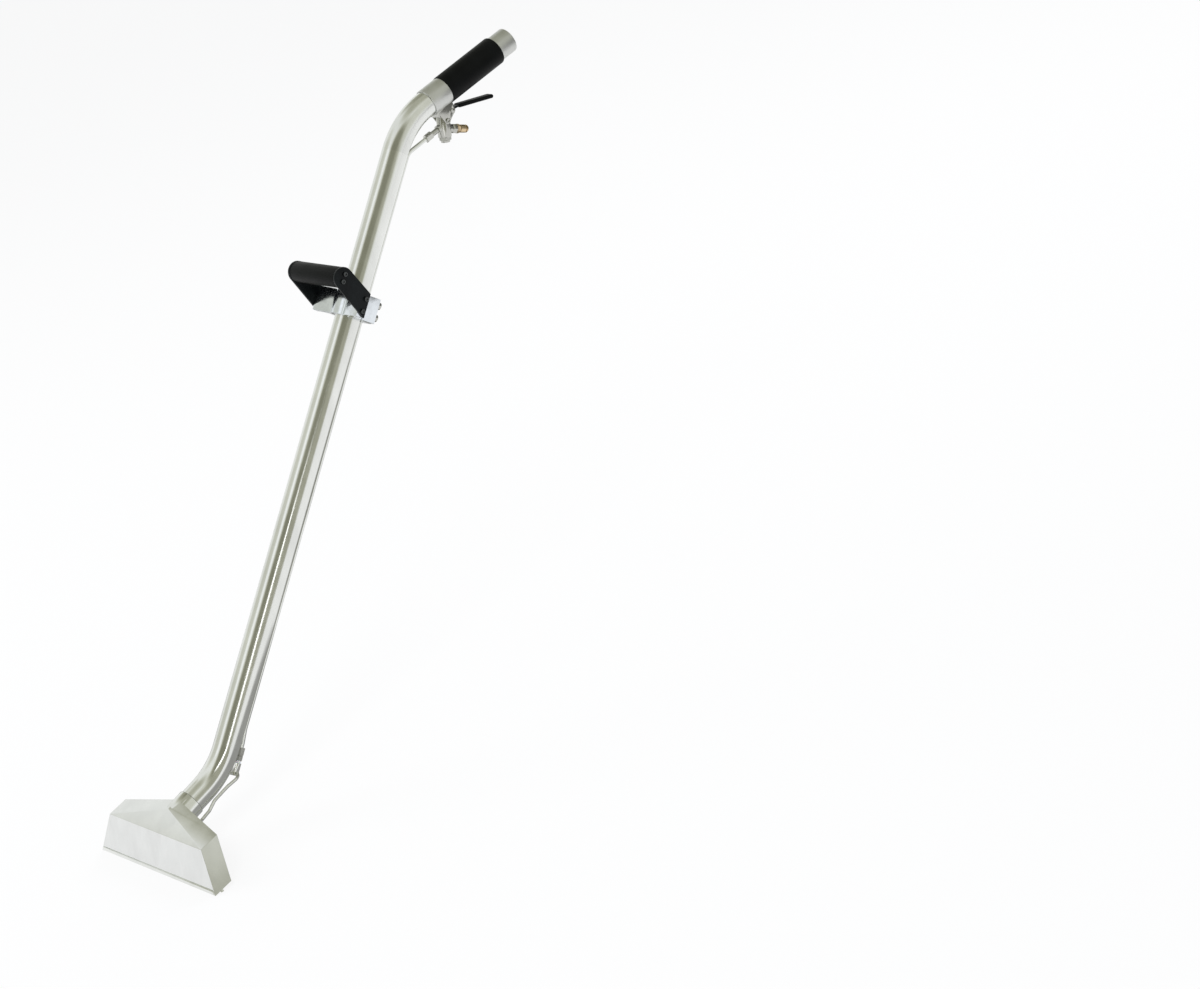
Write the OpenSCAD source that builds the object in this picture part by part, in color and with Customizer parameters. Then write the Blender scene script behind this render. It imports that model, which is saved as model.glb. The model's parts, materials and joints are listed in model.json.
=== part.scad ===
// Stainless hand wand of a spot extractor, in millimetres.
// X runs across the head, +Y towards the user, +Z up; the origin is the middle of the front lip's sole.
// Down the wand, "s" is a distance along a tube's axis and "n" a distance below or behind that axis.

/* [Head shell] */
// Width of the head over its bottom corners
head_w = 304.8; // [260:0.1:340]
// Thickness of the head's sheet
sheet = 1.5; // [1:0.1:2]
// Lean of the lower front face, back from vertical
face_lean = 16.1; // [12:0.1:20]
// Slant height of the lower front face
face_len = 60; // [56:0.5:66]
// How far each end of the crease lies inside the bottom corner
crease_inset = 29.6; // [20:0.1:40]
// Rise of the roof's apex above the crease
roof_rise = 11.6; // [10:0.1:14]
// Distance of the roof's apex behind the crease
roof_run = 34.9; // [31:0.1:38]
// Upward pitch of the hood
hood_pitch = 14; // [12:0.1:16]
// Depth of the hood's side walls
hood_depth = 31.5; // [26:0.5:40]
// Depth of the hood at its peak
peak_depth = 20; // [14:0.5:26]
// Space between the front shell and the back plate
chamber_gap = 8; // [7:0.1:9]

/* [Lips] */
// Width of each lip
lip_w = 5; // [4:0.1:6]
// Height of each lip
lip_h = 6; // [5:0.1:8]
// Width of the vacuum slot between the lips
slot_w = 5; // [4.5:0.1:5.5]
// Diameter of the slot's brace tube
brace_od = 4.8; // [4:0.1:6]
// How far the brace tube stands out behind the back plate
brace_out = 4; // [2:0.1:8]

/* [Vacuum tube] */
// Outer diameter of the vacuum tube
tube_od = 38.1; // [36:0.1:40]
// Wall of the vacuum tube
tube_wall = 1.65; // [1.2:0.05:2]
// Wall of the horn and of the handle collar
sleeve_wall = 1.5; // [1.2:0.1:1.8]
// Centreline radius of both bends
bend_r = 130; // [115:1:140]
// Lean of the lower stretch from vertical
lower_lean = 71.8; // [70:0.1:74]
// Lean of the lance from vertical
lance_lean = 39.5; // [36:0.1:43]
// Lean of the handle stretch from vertical
handle_lean = 78.4; // [75:0.1:81]
// Slant height at which the horn's axis leaves the back plate
horn_height = 53.6; // [52:0.1:55]
// Length of the horn's axis from the back plate to its seam
horn_len = 62.9; // [60:0.1:68]
// How far the vacuum tube slips into the horn
slip_len = 12; // [8:0.5:16]
// Length from the horn's seam to the lower bend's corner
lower_len = 59; // [56:0.5:64]
// Length between the two bends' corners
lance_len = 961.8; // [860:0.1:1060]
// Length from the upper bend's corner to the tube's end
handle_len = 216.5; // [208:0.5:240]
// Where the handle collar starts, past the upper corner
collar_start = 46.7; // [46:0.1:48]
// Length of the handle collar
collar_len = 34.7; // [33:0.1:36]

/* [Grip] */
// Outer diameter of the grip
grip_od = 43; // [41.5:0.5:44]
// Length of the grip
grip_len = 106.7; // [95:0.1:112]
// Length of the reduced end of the grip
grip_lip = 3; // [2:0.5:5]

/* [Solution line] */
// Outer diameter of the solution line
line_od = 6.35; // [5:0.05:7]
// Wall of the solution line
line_wall = 0.75; // [0.5:0.05:1]
// Centreline radius of the solution line's bends
line_bend_r = 22; // [16:1:30]
// Width across flats of the line's nuts
nut_af = 11.1; // [10:0.1:12.7]
// Length of a line nut
nut_len = 11.5; // [9:0.5:14]
// Diameter of the feed boss
boss_d = 12.7; // [11:0.1:14]
// Length of the feed boss
boss_len = 18; // [14:0.5:20]
// Where the feed boss starts, past the lower corner
boss_start = 0; // [-3:0.5:6]
// Outer diameter of the feed tubes
feed_od = 4.76; // [4:0.01:5.5]
// Wall of the feed tubes
feed_wall = 0.7; // [0.5:0.05:0.9]
// Diameter of the pipe threads
thread_d = 8.5; // [8:0.1:9]
// Length of the white thread tape that shows
tape_len = 4; // [3:0.1:5]

/* [Spray manifold] */
// Width of the square manifold bars
bar_w = 12.7; // [12:0.1:14]
// Distance of the bars' inner ends from the middle
bar_inner = 27; // [26:0.5:30]
// Distance of the bars' outer ends from the middle
bar_outer = 116; // [110:1:124]
// Slant height of the bars' underside
bar_height = 51; // [48:0.5:53]
// Space between the back plate and the bars
bar_gap = 3.65; // [3:0.05:5]
// Diameter of the gallery inside the bars
gallery_d = 6.35; // [5:0.05:7]
// Distance of the inner nozzles from the middle
nozzle_inner = 38.9; // [37:0.1:41]
// Distance of the outer nozzles from the middle
nozzle_outer = 109.1; // [104:0.1:110]
// Width across flats of the nozzles
nozzle_af = 11.1; // [10:0.1:11.5]
// Length of a nozzle's hex body
nozzle_len = 5.5; // [4.5:0.1:7]
// Length of a nozzle's tip
tip_len = 6.5; // [5:0.1:8]
// Distance of the brackets' inner ends from the middle
bracket_inner = 46.5; // [46:0.5:50]
// Distance of the brackets' outer ends from the middle
bracket_outer = 101.5; // [92:0.5:103]
// Thickness of the brackets
bracket_t = 2; // [1.5:0.1:2.5]
// Thread diameter of the bracket screws
screw_d = 4; // [3:0.1:4.5]

/* [Valve] */
// Diameter of the valve body
valve_d = 20; // [18:0.5:22]
// Tilt of the valve's axis from square to the handle
valve_tilt = 23.3; // [20:0.1:26]
// Where the valve's axis starts, past the upper corner
valve_s = 63.7; // [62.5:0.1:65]
// Depth of the stem's top below the handle's axis
valve_n = 25.3; // [25:0.1:27]
// Depth of the valve chamber's open end below the stem's top
valve_len = 36; // [35:0.5:40]
// Diameter of the stem
stem_d = 4; // [3:0.1:5]
// Travel of the stem
stem_travel = 2.3; // [1.5:0.1:2.4]
// Depth of the outlet's axis below the handle's axis
outlet_n = 42.7; // [41:0.1:44]
// Slope of the inlet, down from the handle's axis
inlet_slope = 33.3; // [28:0.1:36]
// Wire diameter of the valve spring
spring_wire = 0.9; // [0.6:0.1:1.2]
// Number of turns of the valve spring
spring_turns = 5; // [4:1:6]

/* [Trigger] */
// Distance of the lever's pin behind the stem
pin_arm = 10.1; // [10:0.1:10.6]
// Diameter of the lever's pin
pin_d = 4; // [3:0.1:4.5]
// Thickness of the lever
lever_t = 3; // [2.5:0.1:3.5]
// Width of the lever
lever_w = 12; // [9:0.5:14]
// Where the lever starts to slope away from the handle
lever_knee_s = 88; // [86:0.5:92]
// Where the lever ends
lever_end_s = 146; // [130:0.5:156]
// Slope of the lever away from the handle
lever_slope = 19.6; // [17:0.1:22]
// Wall of the lever's sleeve
lever_sleeve_wall = 1.4; // [1:0.1:2]

/* [D-handle] */
// Where the clamp's middle sits along the lance
clamp_s = 687.5; // [560:0.5:760]
// Height of the clamp along the lance
clamp_h = 36; // [30:0.5:44]
// Width of the D-handle over its arms
dhandle_w = 120; // [112:0.5:130]
// Thickness of the arms
arm_t = 5; // [4:0.1:6]
// Width of the arms
arm_w = 36; // [33:0.5:38]
// Distance of the bar in front of the lance's axis
dbar_n = 66; // [62:0.5:76]
// Distance of the bar up the lance from the clamp's middle
dbar_s = 26.5; // [20:0.5:32]
// Outer diameter of the bar's sleeve
dbar_od = 30; // [28:0.5:32]
// Diameter of the bar's core
core_d = 22; // [19:0.5:24]
// Thickness of the clamp in front of the tube
clamp_front_t = 7; // [5:0.5:9]
// Distance of the clamp bolts from the middle
bolt_x = 27; // [26:0.5:30]
// Thread diameter of the clamp bolts
bolt_d = 6; // [5:0.1:6.5]

/* [Hidden] */
$fn = 64;

// Clearances
press_gap = 0.05;      // radial, between pieces that are pressed or threaded together
slip_gap = 0.1;        // radial, where the vacuum tube slips into a sleeve
run_gap = 0.06;        // radial, where one piece runs on another
free_gap = 0.3;        // between pieces of different bodies
far = 400;             // longer than anything that is cut
outer_sides = 12;      // sides of a thin tube's outside
inner_sides = 8;       // sides of a thin tube's bore
arc_steps = 4;         // steps in each bend of a thin tube

steel_c = "silver";
brass_c = "goldenrod";
black_c = [0.1, 0.1, 0.1];
white_c = "white";

// Directions and frames. dir() runs up a tube that leans by "lean"; below() is square to it.
function dir(lean) = [0, sin(lean), cos(lean)];
function below(lean) = [0, cos(lean), -sin(lean)];
function unit(v) = v / norm(v);

face_y = -lip_w / 2;                       // bottom front edge of the shell
plate_in = sheet + chamber_gap;            // front of the back plate, behind the front face
plate_out = plate_in + sheet;              // rear of the back plate
neck = [0, face_y, 0] + plate_out * below(face_lean) + horn_height * dir(face_lean)
       + horn_len * dir(lower_lean);
corner_1 = neck + lower_len * dir(lower_lean);
corner_2 = corner_1 + lance_len * dir(lance_lean);
function on_lower(x, n, s) = neck + [x, 0, 0] + n * below(lower_lean) + s * dir(lower_lean);
function on_lance(x, n, s) = corner_1 + [x, 0, 0] + n * below(lance_lean) + s * dir(lance_lean);
function on_handle(x, n, s) = corner_2 + [x, 0, 0] + n * below(handle_lean) + s * dir(handle_lean);

module at_face() translate([0, face_y, 0]) rotate([-face_lean, 0, 0]) children();
module at_hood() translate([0, face_y, 0]) rotate([hood_pitch, 0, 0]) children();
module at_lower() translate(neck) rotate([-lower_lean, 0, 0]) children();
module at_lance() translate(corner_1) rotate([-lance_lean, 0, 0]) children();
module at_handle() translate(corner_2) rotate([-handle_lean, 0, 0]) children();
module both_sides() {
    children();
    mirror([1, 0, 0]) children();
}
// A side outline, drawn as (behind, up), extruded across the wand
module across(w) rotate([90, 0, 90]) linear_extrude(w, center = true) children();
// A front outline, drawn as (across, up), extruded backwards
module backwards(from, to) translate([0, to, 0]) rotate([90, 0, 0]) linear_extrude(to - from) children();
module ring(od, id, h) {
    linear_extrude(h) difference() {
        circle(d = od);
        circle(d = id);
    }
}
module hex(af, h) cylinder(d = af / cos(30), h = h, $fn = 6);

// A tube that runs straight up its own Z and then bends towards its +Y
module bend_tube(straight, turn) {
    difference() {
        bend_rod(straight, turn, tube_od / 2);
        translate([0, 0, -1]) bend_rod(straight + 1, turn, tube_id / 2);
    }
}
module bend_rod(straight, turn, rod_r) {
    cylinder(r = rod_r, h = straight);
    translate([0, bend_r, straight]) rotate([90, 0, 90]) mirror([1, 0, 0])
        rotate_extrude(angle = turn) translate([bend_r, 0]) circle(r = rod_r);
}
// A thin tube as one mesh: rings of points follow its straight stretches and arcs
function stations(pts, r, steps) =
    let (last = len(pts) - 1, way = [for (i = [0:last - 1]) unit(pts[i + 1] - pts[i])])
    concat([[pts[0], way[0]]],
        [for (i = [1:last - 1])
            let (a = way[i - 1], turn = acos(a * way[i]), inward = unit(way[i] - a * (a * way[i])),
                 start = pts[i] - r * tan(turn / 2) * a)
            for (k = [0:steps])
                let (t = turn * k / steps)
                [start + r * (sin(t) * a + (1 - cos(t)) * inward), cos(t) * a + sin(t) * inward]],
        [[pts[last], way[last - 1]]]);
function square_to(n, t) = unit(n - t * (n * t));
// Each ring's first direction is carried on from the ring before it, so that the tube doesn't twist
function carried(st) = [for (i = 0, n = square_to([0.1, 0.2, 1], st[0][1]); i < len(st);
    i = i + 1, n = square_to(n, st[min(i, len(st) - 1)][1])) n];
module swept_rod(pts, r, rod_r, sides, steps) {
    st = stations(pts, r, steps);
    first = carried(st);
    skin_rings([for (i = [0:len(st) - 1])
        let (n = first[i], b = cross(st[i][1], n))
        [for (j = [0:sides - 1]) st[i][0] + rod_r * (cos(360 * j / sides) * n + sin(360 * j / sides) * b)]]);
}
module swept_tube(pts, r, od, id) {
    difference() {
        swept_rod(pts, r, od / 2, outer_sides, arc_steps);
        swept_rod(extended(pts), r, id / 2, inner_sides, arc_steps);
    }
}
function extended(pts) =
    let (last = len(pts) - 1, a = unit(pts[0] - pts[1]), b = unit(pts[last] - pts[last - 1]))
    [for (i = [0:last]) i == 0 ? pts[0] + a : i == last ? pts[last] + b : pts[i]];
// A closed solid through rings that have as many points each
module skin_rings(rings) {
    sides = len(rings[0]);
    count = len(rings) - 1;
    walls = [for (i = [0:count - 1], j = [0:sides - 1])
        let (p = i * sides + j, q = i * sides + (j + 1) % sides)
        each [[p, p + sides, q], [q, p + sides, q + sides]]];
    polyhedron([for (ring = rings) each ring],
        concat([[for (j = [0:sides - 1]) j]], walls, [[for (j = [sides - 1:-1:0]) count * sides + j]]));
}
module place(x, y, z, at) {
    multmatrix([[x.x, y.x, z.x, at.x],
                [x.y, y.y, z.y, at.y],
                [x.z, y.z, z.z, at.z],
                [0, 0, 0, 1]]) children();
}

// ---- Head shell ----
crease_w = face_len * sin(face_lean + hood_pitch);
crease_v = face_len * cos(face_lean + hood_pitch);
apex_w = crease_w + roof_run;
apex_v = crease_v + roof_rise;
side_slope = crease_inset / crease_v;
roof_slope = roof_rise / (head_w / 2 - crease_inset);
under = -20;           // how far inner outlines run on below the hood

// The hood's outline, seen along its pitch, moved inwards by t and run down to "low"
function hood_outline(t, low) =
    let (e = t * sqrt(1 + side_slope * side_slope), d = t * sqrt(1 + roof_slope * roof_slope),
         xc = (head_w / 2 - e - side_slope * (apex_v - d)) / (1 - side_slope * roof_slope),
         vc = apex_v - d - roof_slope * xc, xb = head_w / 2 - e - side_slope * low)
    [[-xb, low], [xb, low], [xc, vc], [0, apex_v - d], [-xc, vc]];

module hood_prism(t, low) at_hood() backwards(under, far) polygon(hood_outline(t, low));

// Everything behind the two front faces' inner surfaces
module behind_faces() {
    k1 = sheet / cos(face_lean + hood_pitch);
    upper_slope = roof_run / roof_rise;
    k2 = sheet * sqrt(1 + upper_slope * upper_slope);
    lower_slope = tan(face_lean + hood_pitch);
    meet_v = crease_v + (k1 - k2) / (upper_slope - lower_slope);
    top_v = apex_v + 60;
    at_hood() across(far) polygon([
        [lower_slope * under + k1, under], [lower_slope * meet_v + k1, meet_v],
        [crease_w + upper_slope * (top_v - crease_v) + k2, top_v], [far, top_v], [far, under]]);
}
module head_hollow() {
    intersection() {
        hood_prism(sheet, under);
        behind_faces();
    }
}
module hood_block() {
    intersection() {
        at_hood() backwards(under, far) polygon(hood_outline(0, 0));
        at_hood() across(far) polygon([[0, 0], [crease_w, crease_v], [apex_w, apex_v],
            [apex_w + peak_depth, apex_v], [crease_w + hood_depth, crease_v], [hood_depth, 0]]);
    }
}
rear_lip_y = face_y + lip_w + slot_w;
module lip_level() translate([-far / 2, -far / 2, -far]) cube([far, far, far + lip_h]);

module front_shell() color(steel_c) {
    difference() {
        hood_block();
        head_hollow();
        intersection() {
            hood_prism(sheet, under);
            lip_level();
        }
        horn_blank();
    }
}
module back_plate() color(steel_c) {
    difference() {
        intersection() {
            at_face() translate([-head_w / 2, plate_in, 0]) cube([head_w, sheet, 2 * face_len]);
            head_hollow();
        }
        lip_level();
        horn_blank();
        at_brace() cylinder(d = brace_od + 2 * press_gap, h = far, center = true);
        at_manifold_screws() cylinder(d = screw_d + 2 * press_gap, h = far, center = true);
    }
}
lip_round = 1.2;       // radius of the lips' lower edges
module lip_bar(y) {
    intersection() {
        translate([0, y, 0]) across(head_w) {
            translate([0, lip_round]) square([lip_w, lip_h - lip_round]);
            translate([lip_round, 0]) square([lip_w - 2 * lip_round, lip_round]);
            translate([lip_round, lip_round]) circle(r = lip_round, $fn = 24);
            translate([lip_w - lip_round, lip_round]) circle(r = lip_round, $fn = 24);
        }
        hood_prism(sheet, under);
    }
}
module front_lip() color(steel_c) lip_bar(face_y);
module rear_lip() color(steel_c) lip_bar(rear_lip_y);

brace_rise = 4.6;      // gap between the rear lip and the brace tube
brace_s = lip_h + brace_od / 2 + brace_rise;
tab_w = 14;            // width of the brace's tab
tab_h = 10;            // height of the brace's tab
brace_id = 2.4;        // bore of the brace tube
module at_brace() at_face() translate([0, 0, brace_s]) rotate([-90, 0, 0]) children();
module brace_tube() color(steel_c) {
    at_brace() translate([0, 0, sheet]) ring(brace_od, brace_id, plate_out + brace_out - sheet);
}
module brace_tab() color(steel_c) {
    low_s = (lip_h + (plate_out + sheet) * sin(face_lean)) / cos(face_lean) + free_gap;
    difference() {
        at_face() translate([-tab_w / 2, plate_out, low_s]) cube([tab_w, sheet, tab_h]);
        at_brace() cylinder(d = brace_od + 2 * press_gap, h = far, center = true);
    }
}

// ---- Horn ----
sleeve_id = tube_od + 2 * slip_gap;
sleeve_od = sleeve_id + 2 * sleeve_wall;
module horn_blank() {
    intersection() {
        at_lower() translate([0, 0, -far]) cylinder(d = sleeve_od, h = far);
        at_face() translate([-far, plate_in, -far]) cube(2 * far);
        behind_faces();
    }
}
module horn() color(steel_c) {
    difference() {
        horn_blank();
        at_lower() translate([0, 0, -far - 1]) cylinder(d = sleeve_id, h = far + 2);
    }
}
// The horn's stitched weld: a rippled bead round the ellipse where the horn meets the back plate
bead_r = 1.6;          // mean radius of the weld bead
stitch_step = 12;      // angle that each stitch of the weld takes
weld_from = 156;       // angles between which the weld can be reached
weld_to = 384;
module horn_weld() color(steel_c) {
    half_w = sleeve_od / 2;
    half_h = half_w / cos(90 - lower_lean + face_lean);
    sides = 8;
    step = stitch_step / 4;
    count = (weld_to - weld_from) / step;
    at_face() skin_rings([for (i = [0:count])
        let (a = weld_from + i * step, r = bead_r * (0.85 + 0.2 * abs(sin(180 * i * step / stitch_step))),
             out = unit([cos(a) * half_h, sin(a) * half_w]))
        [for (j = [0:sides - 1]) let (b = j * 360 / sides)
            [cos(a) * half_w + out.x * r * cos(b), plate_out + r * sin(b),
             horn_height + sin(a) * half_h + out.y * r * cos(b)]]]);
}
// The fillet weld where the vacuum tube enters the horn
module neck_weld() color("dimgray") {
    at_lower() rotate_extrude() polygon([[tube_od / 2 + press_gap, 0], [sleeve_od / 2, 0],
        [tube_od / 2 + press_gap, sleeve_wall * 1.2]]);
}

// ---- Vacuum tube ----
tube_id = tube_od - 2 * tube_wall;
join_s = collar_start + collar_len / 2;
grip_start = collar_start + collar_len;
lower_cut = bend_r * tan((lower_lean - lance_lean) / 2);     // from each bend's corner to its ends
upper_cut = bend_r * tan((handle_lean - lance_lean) / 2);
module lower_bend() color(steel_c) {
    at_lower() translate([0, 0, -slip_len]) mirror([0, 1, 0])
        bend_tube(slip_len + lower_len - lower_cut, lower_lean - lance_lean);
}
module lance_tube() color(steel_c) {
    at_lance() translate([0, 0, lower_cut]) ring(tube_od, tube_id, lance_len - lower_cut - upper_cut);
}
module upper_bend() color(steel_c) {
    at_handle() translate([0, 0, join_s]) mirror([0, 0, 1])
        bend_tube(join_s - upper_cut, handle_lean - lance_lean);
}
module handle_collar() color(steel_c) {
    at_handle() translate([0, 0, collar_start]) ring(sleeve_od, sleeve_id, collar_len);
}
grip_end = grip_start + grip_len;
grip_turn = 0.25;      // how much the tube is turned down, on the radius, under the grip
// The bare end past the grip is the cuff that a hose is pushed over
module handle_tube() color(steel_c) {
    out_r = tube_od / 2;
    seat_r = out_r - grip_turn;
    at_handle() rotate_extrude() polygon([[tube_id / 2, join_s], [out_r, join_s], [out_r, grip_start],
        [seat_r, grip_start], [seat_r, grip_end], [out_r, grip_end], [out_r, handle_len],
        [tube_id / 2, handle_len]]);
}
module grip_sleeve() color(black_c) {
    in_r = tube_od / 2 - grip_turn + press_gap;
    out_r = grip_od / 2;
    soft = grip_lip / 2;
    at_handle() translate([0, 0, grip_start]) rotate_extrude() polygon([
        [in_r, 0], [out_r - soft, 0], [out_r, grip_lip], [out_r, grip_len - grip_lip],
        [out_r - soft, grip_len], [in_r, grip_len]]);
}

// ---- Valve ----
// Its own axis: z runs down from the stem's top, y towards the head
module at_valve() {
    at_handle() translate([0, valve_n, valve_s]) rotate([-90 - valve_tilt, 0, 0]) children();
}
function in_valve(y, z) = [valve_n + z * cos(valve_tilt) - y * sin(valve_tilt),
                           valve_s - z * sin(valve_tilt) - y * cos(valve_tilt)];
body_top = 5;          // top of the valve body below the stem's top
neck_h = 2.2;          // how far the packing nut stands above the body
nut_seat = 6;          // depth of the packing nut's thread
nut_d = 11;            // width of the packing nut over its corners
nut_thread_d = 9;      // diameter of the packing nut's thread
end_gap = 0.2;         // space left at the end of a thread or a bore
seal_z = body_top + nut_seat + end_gap;
seal_h = 2;            // height of the stem's seal
gallery_z = seal_z + seal_h;
seat_z = 20.5;         // where the valve's seat starts
seat_h = 2;
chamber_d = 13;        // bore of the spring chamber
outlet_bore = 7.2;     // bore above the seat
seat_bore = 6.2;       // bore of the seat
poppet_h = 2.5;
poppet_d = 9.5;
port_d = 5;            // bore of the inlet and outlet
outlet_d = 8;          // outlet stub
inlet_z = 24;          // where the inlet's axis crosses the valve's
module at_outlet(s) at_handle() translate([0, outlet_n, s]) children();
module at_inlet() {
    p = in_valve(0, inlet_z);
    at_handle() translate([0, p.x, p.y]) rotate([-inlet_slope, 0, 0]) children();
}
outlet_axis_s = valve_s - (outlet_n - valve_n) * tan(valve_tilt);
boss_out = 3;          // how far the ports' bosses stand out of the body
inlet_boss_d = 13;
outlet_boss_d = 12;
port_root = valve_d / 2 + boss_out;        // from the valve's axis to the ports' faces
port_thread = 6;       // depth of the inlet's thread
stub_in = 5;           // how far the outlet stub goes into the body
plug_thread = 5;       // depth of the quick plug's thread
thread_hole = thread_d + 2 * press_gap;
module valve_body() color(steel_c) {
    difference() {
        union() {
            at_valve() translate([0, 0, body_top]) cylinder(d = valve_d, h = valve_len - body_top);
            at_inlet() cylinder(d = inlet_boss_d, h = port_root);
            at_outlet(outlet_axis_s - port_root) cylinder(d = outlet_boss_d, h = port_root);
        }
        at_valve() {
            translate([0, 0, -1]) cylinder(d = stem_d + 2 * run_gap, h = valve_len);
            translate([0, 0, body_top - 1])
                cylinder(d = nut_thread_d + 2 * press_gap, h = gallery_z - body_top + 1);
            translate([0, 0, gallery_z]) cylinder(d = outlet_bore, h = seat_z - gallery_z + 1);
            translate([0, 0, seat_z]) cylinder(d = chamber_d, h = valve_len);
        }
        at_inlet() cylinder(d = port_d, h = far);
        at_inlet() translate([0, 0, port_root - port_thread]) cylinder(d = thread_hole, h = far);
        at_outlet(outlet_axis_s - far) cylinder(d = port_d, h = far);
        at_outlet(outlet_axis_s - port_root - 1) cylinder(d = outlet_d + 2 * press_gap, h = stub_in + 1);
        at_bracket_screws() cylinder(d = screw_d + 2 * press_gap, h = far, center = true);
    }
}
module packing_nut() color(brass_c) {
    at_valve() difference() {
        union() {
            translate([0, 0, body_top - neck_h]) cylinder(d = nut_d, h = neck_h, $fn = 6);
            translate([0, 0, body_top]) cylinder(d = nut_thread_d, h = nut_seat);
        }
        cylinder(d = stem_d + 2 * run_gap, h = far);
    }
}
module stem_seal() color("saddlebrown") {
    at_valve() translate([0, 0, seal_z]) ring(nut_thread_d, stem_d + 2 * run_gap, seal_h);
}
module valve_seat() color(white_c) {
    at_valve() translate([0, 0, seat_z]) ring(chamber_d - 2 * press_gap, seat_bore, seat_h);
}
stem_low = 8;          // length of the stem below its poppet
module valve_stem() color(steel_c) {
    at_valve() {
        translate([0, 0, free_gap / 3]) cylinder(d = stem_d, h = seat_z + seat_h + stem_low);
        translate([0, 0, seat_z + seat_h + free_gap / 6]) cylinder(d = poppet_d, h = poppet_h);
    }
}
cap_seat = 2.4;        // depth of the bottom cap's thread
cap_h = 8;             // height of the bottom cap below the body
cap_af = 17;           // width across flats of the bottom cap
cap_hex_h = 4.8;       // height of the cap's hex
cap_d = 13.6;          // diameter of the cap's turned end
cap_bore_d = 5;        // recess over the stem's end
cap_bore_h = 7.7;      // depth of that recess
module bottom_cap() color(steel_c) {
    at_valve() difference() {
        union() {
            translate([0, 0, valve_len - cap_seat]) cylinder(d = chamber_d - 2 * press_gap, h = cap_seat);
            translate([0, 0, valve_len]) hex(cap_af, cap_hex_h);
            translate([0, 0, valve_len]) cylinder(d = cap_d, h = cap_h);
        }
        translate([0, 0, valve_len - cap_seat - 1]) cylinder(d = cap_bore_d, h = cap_bore_h + 1);
    }
}
// The spring is one wire, wound from the poppet to the bottom cap
spring_gap = 0.2;      // space round and below the spring
module valve_spring() color("gray") {
    low_z = seat_z + seat_h + poppet_h + spring_wire / 2 + spring_gap;
    high_z = valve_len - cap_seat - (spring_wire + spring_gap) / 2;
    coil_r = (poppet_d - spring_wire) / 2 - spring_gap;
    per_turn = 16;
    sides = 6;
    count = spring_turns * per_turn;
    at_valve() skin_rings([for (i = [0:count])
        let (a = 360 * i / per_turn, z = low_z + (high_z - low_z) * i / count)
        [for (j = [0:sides - 1]) let (b = 360 * j / sides, r = coil_r - spring_wire / 2 * cos(b))
            [r * cos(a), r * sin(a), z + spring_wire / 2 * sin(b)]]]);
}

adapter_len = 7;       // length of the inlet adapter's hex
module inlet_adapter() color(steel_c) {
    at_inlet() difference() {
        union() {
            translate([0, 0, port_root - port_thread + end_gap]) cylinder(d = thread_d, h = port_thread);
            translate([0, 0, port_root]) hex(inlet_boss_d, adapter_len);
        }
        cylinder(d = port_d, h = far);
        translate([0, 0, port_root + adapter_len - plug_thread]) cylinder(d = thread_hole, h = far);
    }
}
plug_d = 11.9;         // land of the quick plug that a coupler's seal closes on
plug_land = 9;         // length of that land
plug_hex = 6;          // length of the plug's hex
plug_groove_d = 9;     // diameter of the plug between its lands
plug_step = 1;         // gap between the hex and the land
plug_groove = 2;       // width of the latch groove past the land
plug_tip = 3;          // length of the tapered tip
module quick_plug() color(brass_c) {
    root = port_root + adapter_len;
    land = root + plug_hex + plug_step;
    tip = land + plug_land + plug_groove;
    at_inlet() difference() {
        union() {
            translate([0, 0, root - plug_thread + end_gap]) cylinder(d = thread_d, h = plug_thread);
            translate([0, 0, root]) hex(plug_d, plug_hex);
            translate([0, 0, root + plug_hex]) cylinder(d = plug_groove_d, h = tip + 1 - root - plug_hex);
            translate([0, 0, land]) cylinder(d = plug_d, h = plug_land);
            translate([0, 0, tip]) cylinder(d1 = plug_d, d2 = plug_groove_d, h = plug_tip);
        }
        cylinder(d = port_d, h = far);
    }
}
stub_nut_end = 19;     // lower end of the outlet's nut
nut_in = 5;            // how far the stub goes into the outlet's nut
module outlet_stub() color(steel_c) {
    low = stub_nut_end + nut_len - nut_in;
    top = outlet_axis_s - port_root + stub_in - end_gap;
    at_outlet(low) ring(outlet_d, port_d, top - low);
}
module outlet_nut() color(steel_c) {
    at_outlet(stub_nut_end) difference() {
        hex(nut_af, nut_len);
        translate([0, 0, -1]) cylinder(d = line_od + 2 * press_gap, h = far);
        translate([0, 0, nut_len - nut_in - end_gap]) cylinder(d = outlet_d + 2 * press_gap, h = far);
    }
}

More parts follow.
